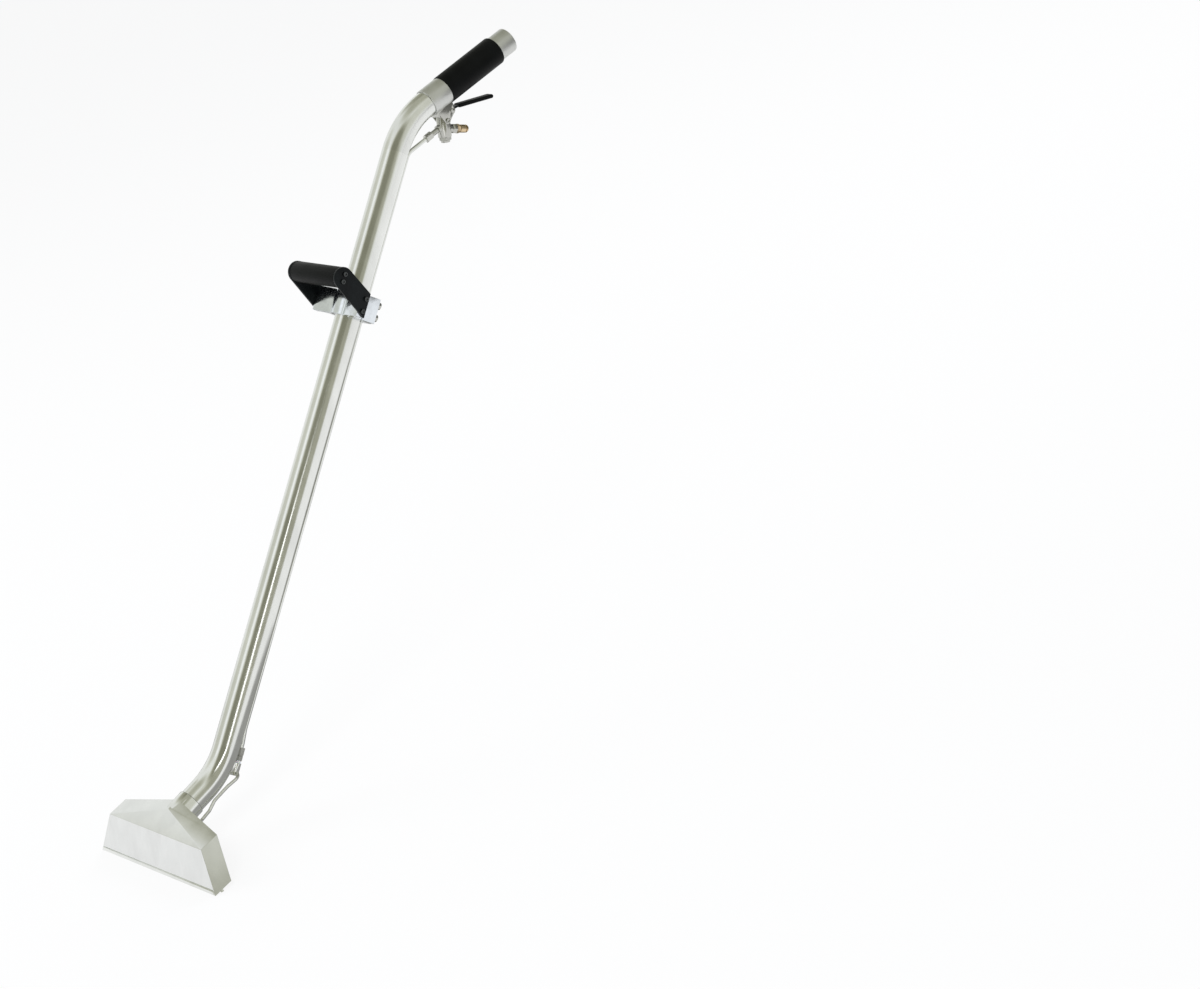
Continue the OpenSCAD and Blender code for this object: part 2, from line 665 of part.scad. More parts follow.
// ---- Valve bracket and trigger ----
cheek_t = 2;           // thickness of the bracket's cheeks
cheek_in = valve_d / 2 + slip_gap;
pin_z = -1;            // height of the pin above the stem's top, down the valve's axis
pin_at = in_valve(-pin_arm, pin_z);
screw_z = 12;          // where the bracket's screws hold the body
screw_at = in_valve(0, screw_z);
eye_r = 5;             // half width of the cheeks round the pin and the screws
module at_bracket_screws() {
    at_handle() translate([0, screw_at.x, screw_at.y]) rotate([0, 90, 0]) children();
}
module at_pin() at_handle() translate([0, pin_at.x, pin_at.y]) rotate([0, 90, 0]) children();
cheek_root = 6;        // how far up the collar's sides the cheeks reach
cheek_inset = 2;       // distance of the bracket from the collar's lower end
module valve_bracket() color(steel_c) {
    root_n = tube_od / 2 - cheek_root;
    root_s = collar_start + cheek_inset;
    difference() {
        union() {
            at_handle() both_sides() translate([cheek_in + cheek_t / 2, 0, 0]) across(cheek_t) {
                polygon([[root_n, root_s], [root_n, grip_start - cheek_inset / 2],
                    [pin_at.x, pin_at.y + eye_r], [pin_at.x + eye_r, pin_at.y],
                    [screw_at.x + eye_r, screw_at.y], [screw_at.x, screw_at.y - eye_r]]);
                translate(pin_at) circle(r = eye_r, $fn = 32);
                translate(screw_at) circle(r = eye_r, $fn = 32);
            }
            at_handle() translate([-cheek_in - cheek_t, root_n, root_s])
                cube([2 * (cheek_in + cheek_t), valve_n - root_n, cheek_t]);
        }
        at_handle() cylinder(d = sleeve_od, h = far);
        at_pin() cylinder(d = pin_d + 2 * press_gap, h = far, center = true);
        at_bracket_screws() cylinder(d = screw_d + 2 * press_gap, h = far, center = true);
    }
}
head_h = 2.5;          // height of the small screws' heads
cap_head_h = 3.6;      // height of the manifold screws' taller heads
head_ratio = 1.75;     // a screw's head over its thread
key_ratio = 0.9;       // a screw's hex socket, over its corners, over its thread
bracket_bite = 3.4;    // how far the bracket's screws reach into the valve body
module socket_screw(d, grip, head) {
    difference() {
        union() {
            translate([0, 0, -grip]) cylinder(d = d, h = grip + 1);
            cylinder(d = head_ratio * d, h = head);
        }
        translate([0, 0, head / 2]) cylinder(d = key_ratio * d, h = head, $fn = 6);
    }
}
module bracket_screws() color(steel_c) {
    both_sides() at_bracket_screws() translate([0, 0, cheek_in + cheek_t])
        socket_screw(screw_d, cheek_t + bracket_bite, head_h);
}
pin_head = 1.2;        // height and overhang of the pin's heads
module lever_pin() color(steel_c) {
    reach = cheek_in + cheek_t;
    at_pin() {
        cylinder(d = pin_d, h = 2 * reach, center = true);
        both_sides_z(reach) cylinder(d = pin_d + 2 * pin_head, h = pin_head);
    }
}
module both_sides_z(z) {
    translate([0, 0, z]) children();
    mirror([0, 0, 1]) translate([0, 0, z]) children();
}
// The lever: a hub on the pin, a nose on the stem and a long arm under the grip
nose_r = 2;            // radius of the nose that presses the stem
nose_z = -nose_r - free_gap * 2 / 3;
nose_at = in_valve(0, nose_z);
root_fall = 0.15;      // how much the lever falls away from the handle per length before its knee
knee_at = [pin_at.x + (lever_knee_s - pin_at.y) * root_fall, lever_knee_s];
tip_at = [knee_at.x + (lever_end_s - lever_knee_s) * tan(lever_slope), lever_end_s];
hub_r = 3.9;           // radius of the lever's hub
module strip(a, b, t) {
    translate(a) rotate(atan2(b.y - a.y, b.x - a.x)) translate([0, -t / 2]) square([norm(b - a), t]);
}
module trigger_lever() color(black_c) {
    difference() {
        union() {
            at_handle() across(lever_w) {
                strip(pin_at, knee_at, lever_t);
                translate(knee_at) circle(d = lever_t, $fn = 24);
                strip(knee_at, tip_at, lever_t);
            }
            at_handle() across(lever_w / 2) {
                strip(pin_at, nose_at, lever_t);
                translate(nose_at) circle(r = nose_r, $fn = 24);
            }
            at_pin() cylinder(r = hub_r, h = 2 * (cheek_in - free_gap), center = true);
        }
        at_pin() cylinder(d = pin_d + 2 * run_gap, h = far, center = true);
    }
}
sleeve_from = 3;       // bare length of the lever past its knee
module lever_sleeve() color(black_c) {
    way = unit(tip_at - knee_at);
    t = lever_t + 2 * lever_sleeve_wall;
    w = lever_w + 2 * lever_sleeve_wall;
    difference() {
        at_handle() across(w) {
            strip(knee_at + sleeve_from * way, tip_at + way, t);
            translate(tip_at + way) circle(d = t, $fn = 32);
        }
        at_handle() across(lever_w + 2 * press_gap)
            strip(knee_at, tip_at + press_gap * way, lever_t + 2 * press_gap);
    }
}

// ---- Solution line ----
line_gap = 0.15;       // space between the line and the tube
nut_gap = 0.4;         // space between the line's nut and the tube
line_n = tube_od / 2 + line_od / 2 + line_gap;
nut_n = tube_od / 2 + nut_af / 2 + nut_gap;
tape_s = boss_start + boss_len;
adapter_s = tape_s + tape_len;
adapter_hex = 7;       // length of the line adapter's hex
nut_s = adapter_s + adapter_hex + nut_gap;
thread_in = 7;         // how far the threads go in
line_start = 5;        // straight length of the line past its lower nut
line_jog = 27;         // length over which the line comes in to the tube
line_turn = handle_lean - lance_lean;
// where the line leaves the lance, so that it runs on along the outlet's axis
leave_handle_s = (line_n - outlet_n * cos(line_turn)) / sin(line_turn);
module solution_line() color(steel_c) {
    top = nut_s + nut_len;
    route = [on_lance(0, nut_n, top - nut_len / 2), on_lance(0, nut_n, top + line_start),
             on_lance(0, line_n, top + line_jog), on_handle(0, outlet_n, leave_handle_s),
             on_handle(0, outlet_n, stub_nut_end + nut_len - nut_in - end_gap)];
    swept_tube(route, line_bend_r, line_od, line_od - 2 * line_wall);
}
module line_nut() color(steel_c) {
    at_lance() translate([0, nut_n, nut_s]) difference() {
        hex(nut_af, nut_len);
        translate([0, 0, -1]) cylinder(d = thread_hole, h = nut_len / 2 + 1);
        cylinder(d = line_od + 2 * press_gap, h = far);
    }
}
module line_adapter() color(steel_c) {
    at_lance() translate([0, nut_n, adapter_s]) difference() {
        union() {
            hex(nut_af, adapter_hex);
            translate([0, 0, -tape_len - thread_in])
                cylinder(d = thread_d, h = tape_len + thread_in + adapter_hex + nut_len / 2);
        }
        cylinder(d = port_d, h = far, center = true);
    }
}
module line_tape() color(white_c) {
    at_lance() translate([0, nut_n, tape_s]) ring(boss_d - 2 * free_gap, thread_hole, tape_len);
}
saddle_w = boss_d * 0.72;                  // width of the web between the boss and the tube
module feed_boss() color(steel_c) {
    difference() {
        at_lance() union() {
            translate([0, nut_n, boss_start]) cylinder(d = boss_d, h = boss_len);
            translate([-saddle_w / 2, 0, boss_start]) cube([saddle_w, nut_n, boss_len]);
        }
        at_lance() translate([0, -bend_r, lower_cut]) rotate([0, 90, 0])
            rotate_extrude() translate([bend_r, 0]) circle(d = tube_od);
        at_lance() translate([0, 0, lower_cut]) cylinder(d = tube_od, h = far);
        at_lance() translate([0, nut_n, tape_s - thread_in - end_gap]) cylinder(d = thread_hole, h = far);
        for (route = [left_route, right_route]) feed_hole(route[0], route[1]);
    }
}

module feed_hole(from, to) {
    way = unit(to - from);
    side = unit(cross(way, [0, 0, 1]));
    place(side, cross(way, side), way, from) cylinder(d = feed_od + 2 * slip_gap, h = boss_d);
}

// ---- Feed tubes and manifold ----
bar_y = plate_out + bar_gap + bar_w / 2;        // bars' axis behind the front face
bar_s = bar_height + bar_w / 2;
function on_face(x, y, s) = [x, face_y, 0] + y * below(face_lean) + s * dir(face_lean);
function in_boss(x, s) = on_lance(x, nut_n, boss_start + s);
feed_bend_r = 7;       // centreline radius of the feeds' bends
feed_seat = 3;         // how far each feed goes into its bar
feed_left_x = 38;      // where each feed enters its bar
feed_right_x = -50;
feed_drop = 2;         // the feeds enter a little below the bars' axis
feed_turn = 14;        // distance of each feed's last bend behind its bar's axis
function into_bar(x, behind) = on_face(x, bar_y + behind, bar_s + feed_drop);
// The corners of each feed's route, given across, below and along the tube
left_route = [in_boss(1, 5), in_boss(17, 3), on_lower(18, 15.5, 50), on_lower(18, 15.5, 22),
              on_lower(21, 19, 6), on_lower(26, 17, -12), into_bar(feed_left_x, feed_turn),
              into_bar(feed_left_x, bar_w / 2 - feed_seat)];
right_route = [in_boss(-1, 5), in_boss(-22, 1), on_lower(-29, 30, 56), on_lower(-22, 23, 36),
               on_lower(-22, 21, 2), on_lower(-36, 15, -16), into_bar(feed_right_x, feed_turn),
               into_bar(feed_right_x, bar_w / 2 - feed_seat)];
feed_id = feed_od - 2 * feed_wall;
module feed_tube_left() color(steel_c) swept_tube(left_route, feed_bend_r, feed_od, feed_id);
module feed_tube_right() color(steel_c) swept_tube(right_route, feed_bend_r, feed_od, feed_id);

gallery_end = 8;       // solid length at a bar's outer end
nozzle_thread = 5;     // depth of the nozzles' threads
module at_nozzles() {
    for (x = [nozzle_inner, nozzle_outer], side = [-1, 1])
        at_face() translate([side * x, bar_y, bar_height]) children();
}
module manifold_bar(feed_x) {
    difference() {
        at_face() translate([bar_inner, bar_y - bar_w / 2, bar_height])
            cube([bar_outer - bar_inner, bar_w, bar_w]);
        at_face() translate([0, bar_y, bar_s]) rotate([0, 90, 0])
            cylinder(d = gallery_d, h = bar_outer - gallery_end);
        at_nozzles() translate([0, 0, -1]) cylinder(d = thread_hole, h = nozzle_thread + 1);
        at_nozzles() cylinder(d = port_d, h = bar_w / 2);
        at_face() translate([feed_x, bar_y + bar_w / 2 - feed_seat - end_gap, bar_s + feed_drop])
            rotate([-90, 0, 0]) cylinder(d = feed_od + 2 * press_gap, h = bar_w);
        at_face() translate([feed_x, bar_y, bar_s]) rotate([-90, 0, 0]) cylinder(d = feed_id, h = bar_w / 2);
    }
}
module manifold_left() color(steel_c) manifold_bar(feed_left_x);
module manifold_right() color(steel_c) mirror([1, 0, 0]) manifold_bar(-feed_right_x);
plug_len = 5;          // length of the gallery's end plugs
module manifold_plugs() color(steel_c) {
    both_sides() at_face() translate([bar_inner, bar_y, bar_s]) rotate([0, 90, 0])
        cylinder(d = gallery_d - 2 * press_gap, h = plug_len);
}
leg_h = 10;            // height of the brackets' legs
leg_inset = 5.5;       // distance of the brackets' screws from their ends
shelf_out = 0.5;       // how far the brackets' shelves reach past the bars
module at_manifold_screws() {
    for (x = [bracket_inner + leg_inset, bracket_outer - leg_inset], side = [-1, 1])
        at_face() translate([side * x, plate_out + bracket_t, bar_height - leg_h + screw_d])
            rotate([-90, 0, 0]) children();
}
module manifold_brackets() color(steel_c) {
    shelf = bar_gap + bar_w + shelf_out;
    difference() {
        both_sides() at_face() translate([bracket_inner, plate_out, 0]) {
            translate([0, 0, bar_height - leg_h]) cube([bracket_outer - bracket_inner, bracket_t, leg_h]);
            translate([0, 0, bar_height - bracket_t]) cube([bracket_outer - bracket_inner, shelf, bracket_t]);
        }
        at_manifold_screws() cylinder(d = screw_d + 2 * press_gap, h = far, center = true);
    }
}
module manifold_screws() color(steel_c) {
    at_manifold_screws() socket_screw(screw_d, bracket_t + sheet, cap_head_h);
}
nozzle_bore = 4;       // bore of the nozzles
module nozzle_bodies() color(brass_c) {
    at_nozzles() difference() {
        union() {
            translate([0, 0, -tape_len - nozzle_len]) hex(nozzle_af, nozzle_len);
            translate([0, 0, -tape_len]) cylinder(d = thread_d, h = tape_len + nozzle_thread - 2 * end_gap);
        }
        cylinder(d = nozzle_bore, h = far, center = true);
    }
}
tip_narrow = 0.6;      // how much smaller the tips are than the nozzles
tip_end = 1;           // length of a tip's turned end
tip_end_d = 8.1;       // diameter of that end
jet_w = 1.2;           // width of a tip's orifice and of the slot across it
jet_depth = 0.6;       // depth of the slot
module nozzle_tips() color(brass_c) {
    at_nozzles() translate([0, 0, -tape_len - nozzle_len - tip_len]) difference() {
        union() {
            translate([0, 0, tip_end]) rotate(30) hex(nozzle_af - tip_narrow, tip_len - tip_end);
            cylinder(d1 = tip_end_d, d2 = tip_end_d + tip_end, h = tip_end);
        }
        translate([0, 0, tip_end + jet_depth]) cylinder(d = nozzle_bore, h = far);
        translate([0, 0, -1]) cylinder(d = jet_w, h = far);
        translate([-nozzle_af, -jet_w / 2, -1]) cube([2 * nozzle_af, jet_w, 1 + jet_depth]);
    }
}
tape_d = 10.3;         // outer diameter of the nozzles' tape
module nozzle_tapes() color(white_c) {
    at_nozzles() translate([0, 0, -tape_len]) ring(tape_d, thread_hole, tape_len);
}

// ---- D-handle ----
half_gap = 0.5;        // each clamp half stops this far from the split plane
clamp_r = tube_od / 2 + run_gap;
front_n = tube_od / 2 + clamp_front_t;
ear_n = 12;            // depth of the clamp's wings behind its front
hub_x = bolt_x + 7;    // half width of the clamp round the tube
bolt_seat = 6;         // how far the bolts' heads sit below the clamp's rear
hub_step = 13;         // width of the bolts' seats
hub_slope = 4;         // width of the slope past them, and of the front's fillets
arm_x = dhandle_w / 2 - arm_t;
notch_d = line_od + 2 * free_gap;
clamp_back_t = 3;      // metal behind the line's notch
rear_n = line_n + notch_d / 2 + clamp_back_t;
arm_bite = 7;          // how far the arms' screws reach into the clamp
bar_bite = 10;         // how far the bar's screws reach into its core
bolt_bite = 3.5;       // how far the bolts reach past the split plane's front
module at_clamp() at_lance() translate([0, 0, clamp_s]) children();
module at_bolts() {
    for (x = [-bolt_x, bolt_x], s = [-clamp_h / 4, clamp_h / 4])
        at_clamp() translate([x, rear_n - bolt_seat, s]) rotate([-90, 0, 0]) children();
}
module clamp_front() color("lightsteelblue") {
    wing_n = ear_n - front_n;
    difference() {
        at_clamp() translate([0, 0, -clamp_h / 2]) linear_extrude(clamp_h) polygon([
            [-arm_x, -front_n], [arm_x, -front_n], [arm_x, wing_n], [hub_x + hub_slope, wing_n],
            [hub_x, wing_n + hub_slope], [hub_x, -half_gap], [-hub_x, -half_gap],
            [-hub_x, wing_n + hub_slope], [-hub_x - hub_slope, wing_n], [-arm_x, wing_n]]);
        at_clamp() cylinder(r = clamp_r, h = far, center = true);
        at_bolts() translate([0, 0, -rear_n - bolt_bite - bolt_seat])
            cylinder(d = bolt_d + 2 * press_gap, h = far);
        at_arm_screws() translate([0, 0, -arm_t - arm_bite - end_gap])
            cylinder(d = screw_d + 2 * press_gap, h = far);
    }
}
module clamp_rear() color("lightsteelblue") {
    seat = rear_n - bolt_seat;
    inner_x = hub_x - hub_step;
    difference() {
        at_clamp() translate([0, 0, -clamp_h / 2]) linear_extrude(clamp_h) polygon([
            [-hub_x, half_gap], [hub_x, half_gap], [hub_x, seat], [inner_x, seat],
            [inner_x - hub_slope, rear_n], [hub_slope - inner_x, rear_n], [-inner_x, seat], [-hub_x, seat]]);
        at_clamp() cylinder(r = clamp_r, h = far, center = true);
        at_clamp() translate([0, line_n, 0]) cylinder(d = notch_d, h = far, center = true);
        at_clamp() translate([-notch_d / 2, 0, -clamp_h]) cube([notch_d, line_n, 2 * clamp_h]);
        at_bolts() cylinder(d = bolt_d + 2 * free_gap, h = far, center = true);
    }
}
module clamp_bolts() color(steel_c) {
    at_bolts() socket_screw(bolt_d, rear_n + bolt_bite, bolt_d * key_ratio);
}
module at_arm_end(side) {
    at_clamp() translate([side * (arm_x + arm_t / 2), 0, 0]) children();
}
arm_root = [-front_n + ear_n / 2, 0];
bar_at = [-dbar_n, dbar_s];
module at_arm_screws() {
    for (side = [-1, 1], s = [-clamp_h / 4, clamp_h / 4])
        at_clamp() translate([side * (arm_x + arm_t), arm_root.x, s]) rotate([0, side * 90, 0]) children();
}
module at_bar_screws() {
    for (side = [-1, 1], s = [-core_d / 4, core_d / 4])
        at_clamp() translate([side * (arm_x + arm_t), bar_at.x, bar_at.y + s])
            rotate([0, side * 90, 0]) children();
}
module handle_arms() color(black_c) {
    difference() {
        for (side = [-1, 1]) at_arm_end(side) across(arm_t) {
            translate(bar_at) circle(d = arm_w);
            polygon([bar_at + arm_w / 2 * unit([bar_at.y, -bar_at.x + arm_root.x]), [-front_n, clamp_h / 2],
                [ear_n - front_n, clamp_h / 2], [ear_n - front_n, -clamp_h / 2], [-front_n, -clamp_h / 2],
                bar_at - arm_w / 2 * unit([bar_at.y, -bar_at.x + arm_root.x])]);
        }
        at_arm_screws() cylinder(d = screw_d + 2 * press_gap, h = far, center = true);
        at_bar_screws() cylinder(d = screw_d + 2 * press_gap, h = far, center = true);
    }
}
module at_bar() at_clamp() translate([0, bar_at.x, bar_at.y]) rotate([0, 90, 0]) children();
module bar_core() color(steel_c) {
    difference() {
        at_bar() cylinder(d = core_d, h = 2 * arm_x, center = true);
        at_bar_screws() translate([0, 0, -arm_t - bar_bite - end_gap])
            cylinder(d = screw_d + 2 * press_gap, h = far);
    }
}
module bar_sleeve() color(black_c) {
    at_bar() translate([0, 0, -arm_x]) ring(dbar_od, core_d + 2 * press_gap, 2 * arm_x);
}
module arm_screws() color(steel_c) at_arm_screws() socket_screw(screw_d, arm_t + arm_bite, head_h);
module bar_screws() color(steel_c) at_bar_screws() socket_screw(screw_d, arm_t + bar_bite, head_h);

front_shell();
back_plate();
front_lip();
rear_lip();
brace_tube();
brace_tab();
horn();
horn_weld();
neck_weld();
lower_bend();
lance_tube();
upper_bend();
handle_collar();
handle_tube();
grip_sleeve();
valve_bracket();
bracket_screws();
valve_body();
valve_seat();
valve_stem();
valve_spring();
stem_seal();
packing_nut();
bottom_cap();
inlet_adapter();
quick_plug();
outlet_stub();
outlet_nut();
trigger_lever();
lever_sleeve();
lever_pin();
solution_line();
line_nut();
line_adapter();
line_tape();
feed_boss();
feed_tube_left();
feed_tube_right();
manifold_left();
manifold_right();
manifold_plugs();
manifold_brackets();
manifold_screws();
nozzle_bodies();
nozzle_tips();
nozzle_tapes();
clamp_front();
clamp_rear();
clamp_bolts();
handle_arms();
bar_core();
bar_sleeve();
arm_screws();
bar_screws();
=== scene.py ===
"""Looks of a spot extractor's hand wand: polished tubes, brass jets, black grips and a plain studio."""

import json
import math
import random

import bmesh
import bpy
from mathutils import Matrix, Vector, noise


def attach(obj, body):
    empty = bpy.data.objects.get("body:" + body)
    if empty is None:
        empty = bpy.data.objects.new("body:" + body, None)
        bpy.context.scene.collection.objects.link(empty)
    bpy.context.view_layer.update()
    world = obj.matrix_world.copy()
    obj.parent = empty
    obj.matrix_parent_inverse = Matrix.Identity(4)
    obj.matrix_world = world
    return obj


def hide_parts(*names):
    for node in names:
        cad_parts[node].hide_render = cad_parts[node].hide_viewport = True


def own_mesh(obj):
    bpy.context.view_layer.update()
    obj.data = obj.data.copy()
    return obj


bl_info = {
    "name": "Extractor Wand",
    "version": (1, 0, 0),
    "blender": (4, 5, 0),
    "location": "View3D > Sidebar > Wand",
    "description": "Builds the finished pieces of a spot extractor's hand wand round its CAD frame",
    "category": "Object",
}

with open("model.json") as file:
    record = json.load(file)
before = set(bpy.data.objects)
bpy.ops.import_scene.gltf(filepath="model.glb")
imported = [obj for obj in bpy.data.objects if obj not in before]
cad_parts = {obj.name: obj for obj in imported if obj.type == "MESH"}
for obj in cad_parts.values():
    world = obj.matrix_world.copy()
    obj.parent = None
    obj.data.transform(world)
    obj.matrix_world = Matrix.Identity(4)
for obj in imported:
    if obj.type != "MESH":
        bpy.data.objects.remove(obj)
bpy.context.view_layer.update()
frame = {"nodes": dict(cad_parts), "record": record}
MM = 0.001
RUN_GAP = 0.05 * MM  # between pieces that fit into each other
CIRCLE = 96  # facets round a large turned piece
FINE = 48  # facets round a small one
SAME_POINT = 0.002 * MM  # points closer than this are merged
SLIP_GAP = 0.1 * MM  # between the vacuum tube and the sleeves round it
BORE = 2.5 * MM  # radius of the fittings' bores
OUTLET_BELOW = 42.7 * MM  # of the valve's outlet below the handle's axis
OUTLET_FACE = 19 * MM  # where the outlet's nut starts, past the upper corner
INLET_DEPTH = 24 * MM  # of the inlet along the valve's axis
UNMOVED = Matrix.Identity(4)
STEEL, PLATED, BRASS = "polished_steel", "plated_steel", "brass"
VINYL, TAPE = "black_vinyl", "white_tape"


# ---- Settings ----
def length(label, description, millimetres):
    return bpy.props.FloatProperty(
        name=label, description=description, default=millimetres * MM, min=0.0, precision=5, unit="LENGTH"
    )


def lean(label, description, degrees):
    return bpy.props.FloatProperty(
        name=label, description=description, default=math.radians(degrees), precision=4, subtype="ANGLE"
    )


def tint(label, description, colour):
    return bpy.props.FloatVectorProperty(
        name=label, description=description, default=colour, size=3, min=0.0, max=1.0, subtype="COLOR"
    )


class WandTubeSizes(bpy.types.PropertyGroup):
    outer: length("Tube diameter", "Outer diameter of the vacuum tube", 38.1)
    wall: length("Tube wall", "Wall of the vacuum tube", 1.65)
    bend: length("Bend radius", "Centreline radius of both bends", 130)
    sleeve_wall: length("Sleeve wall", "Wall of the horn and of the handle collar", 1.5)
    lower_lean: lean("Lower lean", "Lean of the lower stretch from vertical", 71.8)
    lance_lean: lean("Lance lean", "Lean of the lance from vertical", 39.5)
    handle_lean: lean("Handle lean", "Lean of the handle stretch from vertical", 78.4)
    lower: length("Lower stretch", "From the horn's seam to the lower bend's corner", 59)
    lance: length("Lance", "Between the two bends' corners", 961.8)
    handle: length("Handle stretch", "From the upper bend's corner to the tube's end", 216.5)
    slip: length("Slip", "How far the vacuum tube slips into the horn", 12)
    collar_start: length("Collar start", "Where the handle collar starts, past the upper corner", 46.7)
    collar: length("Collar", "Length of the handle collar", 34.7)
    grip: length("Grip", "Length of the grip", 106.7)
    grip_outer: length("Grip diameter", "Outer diameter of the grip", 43)


class WandHeadSizes(bpy.types.PropertyGroup):
    face_lean: lean("Face lean", "Lean of the head's front face, back from vertical", 16.1)
    plate: length("Plate depth", "Rear of the back plate behind the front face", 11)
    horn_height: length("Horn height", "Slant height at which the horn leaves the back plate", 53.6)
    horn: length("Horn", "Length of the horn's axis", 62.9)
    bar_height: length("Bar height", "Slant height of the manifold bars' underside", 51)
    bar: length("Bar width", "Width of the square manifold bars", 12.7)
    bar_gap: length("Bar gap", "Space between the back plate and the bars", 3.65)
    nozzle_inner: length("Inner jets", "Distance of the inner jets from the middle", 38.9)
    nozzle_outer: length("Outer jets", "Distance of the outer jets from the middle", 109.1)
    nozzle: length("Jet width", "Width across flats of the jets", 11.1)
    tape: length("Tape", "Length of the thread tape that shows", 4)


class WandPipeSizes(bpy.types.PropertyGroup):
    line: length("Line diameter", "Outer diameter of the solution line", 6.35)
    line_bend: length("Line bend", "Centreline radius of the line's bends", 22)
    nut: length("Nut width", "Width across flats of the line's nuts", 11.1)
    nut_length: length("Nut length", "Length of the line's nuts", 11.5)
    feed: length("Feed diameter", "Outer diameter of the feed tubes", 4.76)
    feed_bend: length("Feed bend", "Roomiest centreline radius of the feeds' bends", 13)
    boss: length("Boss length", "Length of the feed boss", 18)
    thread: length("Thread", "Diameter of the pipe threads", 8.5)


class WandHandleSizes(bpy.types.PropertyGroup):
    clamp: length("Clamp place", "Where the clamp's middle sits along the lance", 687.5)
    width: length("D-handle width", "Width of the D-handle over its arms", 120)
    arm: length("Arm thickness", "Thickness of the arms", 5)
    bar_out: length("Bar distance", "Distance of the bar in front of the lance's axis", 66)
    bar_up: length("Bar rise", "Distance of the bar up the lance from the clamp's middle", 26.5)
    bar_outer: length("Bar diameter", "Outer diameter of the bar's sleeve", 30)
    core: length("Core diameter", "Diameter of the bar's core", 22)
    valve_along: length("Valve place", "Where the valve's axis starts, past the upper corner", 63.7)
    valve_below: length("Valve depth", "Depth of the stem's top below the handle's axis", 25.3)
    valve_tilt: lean("Valve tilt", "Tilt of the valve's axis from square to the handle", 23.3)
    knee_below: length("Knee depth", "Depth of the lever's knee below the handle's axis", 30.57)
    knee_along: length("Knee place", "Place of the lever's knee, past the upper corner", 88)
    lever_slope: lean("Lever slope", "Slope of the lever past its knee, away from the handle", 19.6)
    lever_length: length("Lever length", "From the knee to the start of the sleeve's round tip", 62.57)
    lever_width: length("Lever width", "Width of the lever's sleeve", 14.8)
    lever_thickness: length("Lever thickness", "Thickness of the lever's sleeve", 5.8)
    inlet_slope: lean("Inlet slope", "Slope of the inlet, down from the handle's axis", 33.3)


class WandFinishes(bpy.types.PropertyGroup):
    steel: tint("Polished steel", "Colour of the polished stainless steel", (0.78, 0.79, 0.765))
    plate: tint("Plate steel", "Colour of the satin steel sheet", (0.775, 0.785, 0.775))
    fittings: tint("Fittings", "Colour of the plated valve and fittings", (0.52, 0.52, 0.485))
    brass: tint("Brass", "Colour of the brass jets", (0.70, 0.45, 0.15))
    plug: tint("Plug brass", "Colour of the pale brass plug", (0.66, 0.52, 0.34))
    tape: tint("Tape", "Colour of the thread tape", (0.93, 0.93, 0.93))
    vinyl: tint("Vinyl", "Colour of the grip's vinyl", (0.0030, 0.0034, 0.0033))
    paint: tint("Paint", "Colour of the D-handle's paint", (0.0030, 0.0040, 0.0044))
    alloy: tint("Clamp alloy", "Colour of the polished clamp", (0.80, 0.84, 0.88))
    floor: tint("Floor", "Colour of the floor", (0.90, 0.90, 0.90))


# ---- Places, in metres ----
ACROSS = Vector((1, 0, 0))


def up_along(angle):
    """Direction of a tube that leans back by this angle."""
    return Vector((0, math.sin(angle), math.cos(angle)))


def square_below(angle):
    return Vector((0, math.cos(angle), -math.sin(angle)))


def stand(origin, angle):
    """A frame at origin: x across, y below or behind the tube, z along it."""
    below, along = square_below(angle), up_along(angle)
    return Matrix((
        (1, below.x, along.x, origin.x), (0, below.y, along.y, origin.y), (0, below.z, along.z, origin.z), (0, 0, 0, 1)
    ))


def facing(origin, axis):
    """A frame at origin whose z runs along axis."""
    return Matrix.Translation(origin) @ Vector(axis).to_track_quat("Z", "Y").to_matrix().to_4x4()


FRONT_EDGE = Vector((0, -2.5 * MM, 0))


def horn_foot(head):
    """Where the horn's axis leaves the back plate."""
    return FRONT_EDGE + head.plate * square_below(head.face_lean) + head.horn_height * up_along(head.face_lean)


class Places:
    """The wand's main frames and lengths, worked out from its sizes."""

    def __init__(self, scene):
        tube, head = scene.wand_tube, scene.wand_head
        self.face = stand(FRONT_EDGE, head.face_lean)
        neck = horn_foot(head) + head.horn * up_along(tube.lower_lean)
        corner_1 = neck + tube.lower * up_along(tube.lower_lean)
        corner_2 = corner_1 + tube.lance * up_along(tube.lance_lean)
        self.lower = stand(neck, tube.lower_lean)
        self.lance = stand(corner_1, tube.lance_lean)
        self.handle = stand(corner_2, tube.handle_lean)
        self.lower_cut = tube.bend * math.tan((tube.lower_lean - tube.lance_lean) / 2)
        self.upper_cut = tube.bend * math.tan((tube.handle_lean - tube.lance_lean) / 2)
        self.grip_start = tube.collar_start + tube.collar
        self.join = tube.collar_start + tube.collar / 2
        self.sleeve_in = tube.outer / 2 + SLIP_GAP
        self.sleeve_out = self.sleeve_in + tube.sleeve_wall
        grip = scene.wand_grip
        self.valve = self.handle @ Matrix.Translation((0, grip.valve_below, grip.valve_along)) @ Matrix.Rotation(
            -math.pi / 2 - grip.valve_tilt, 4, "X"
        )
        self.inlet = Matrix.Translation(self.valve @ Vector((0, 0, INLET_DEPTH))) @ self.handle.to_3x3().to_4x4()
        self.inlet = self.inlet @ Matrix.Rotation(-grip.inlet_slope, 4, "X")
        self.clamp = self.lance @ Matrix.Translation((0, 0, grip.clamp))


# ---- Meshes ----
def grid_faces(rings, sides, loop):
    """Quads between rings of points that have as many points each."""
    faces = []
    for i in range(rings if loop else rings - 1):
        a, b = i * sides, (i + 1) % rings * sides
        faces += [(a + j, a + (j + 1) % sides, b + (j + 1) % sides, b + j) for j in range(sides)]
    return faces


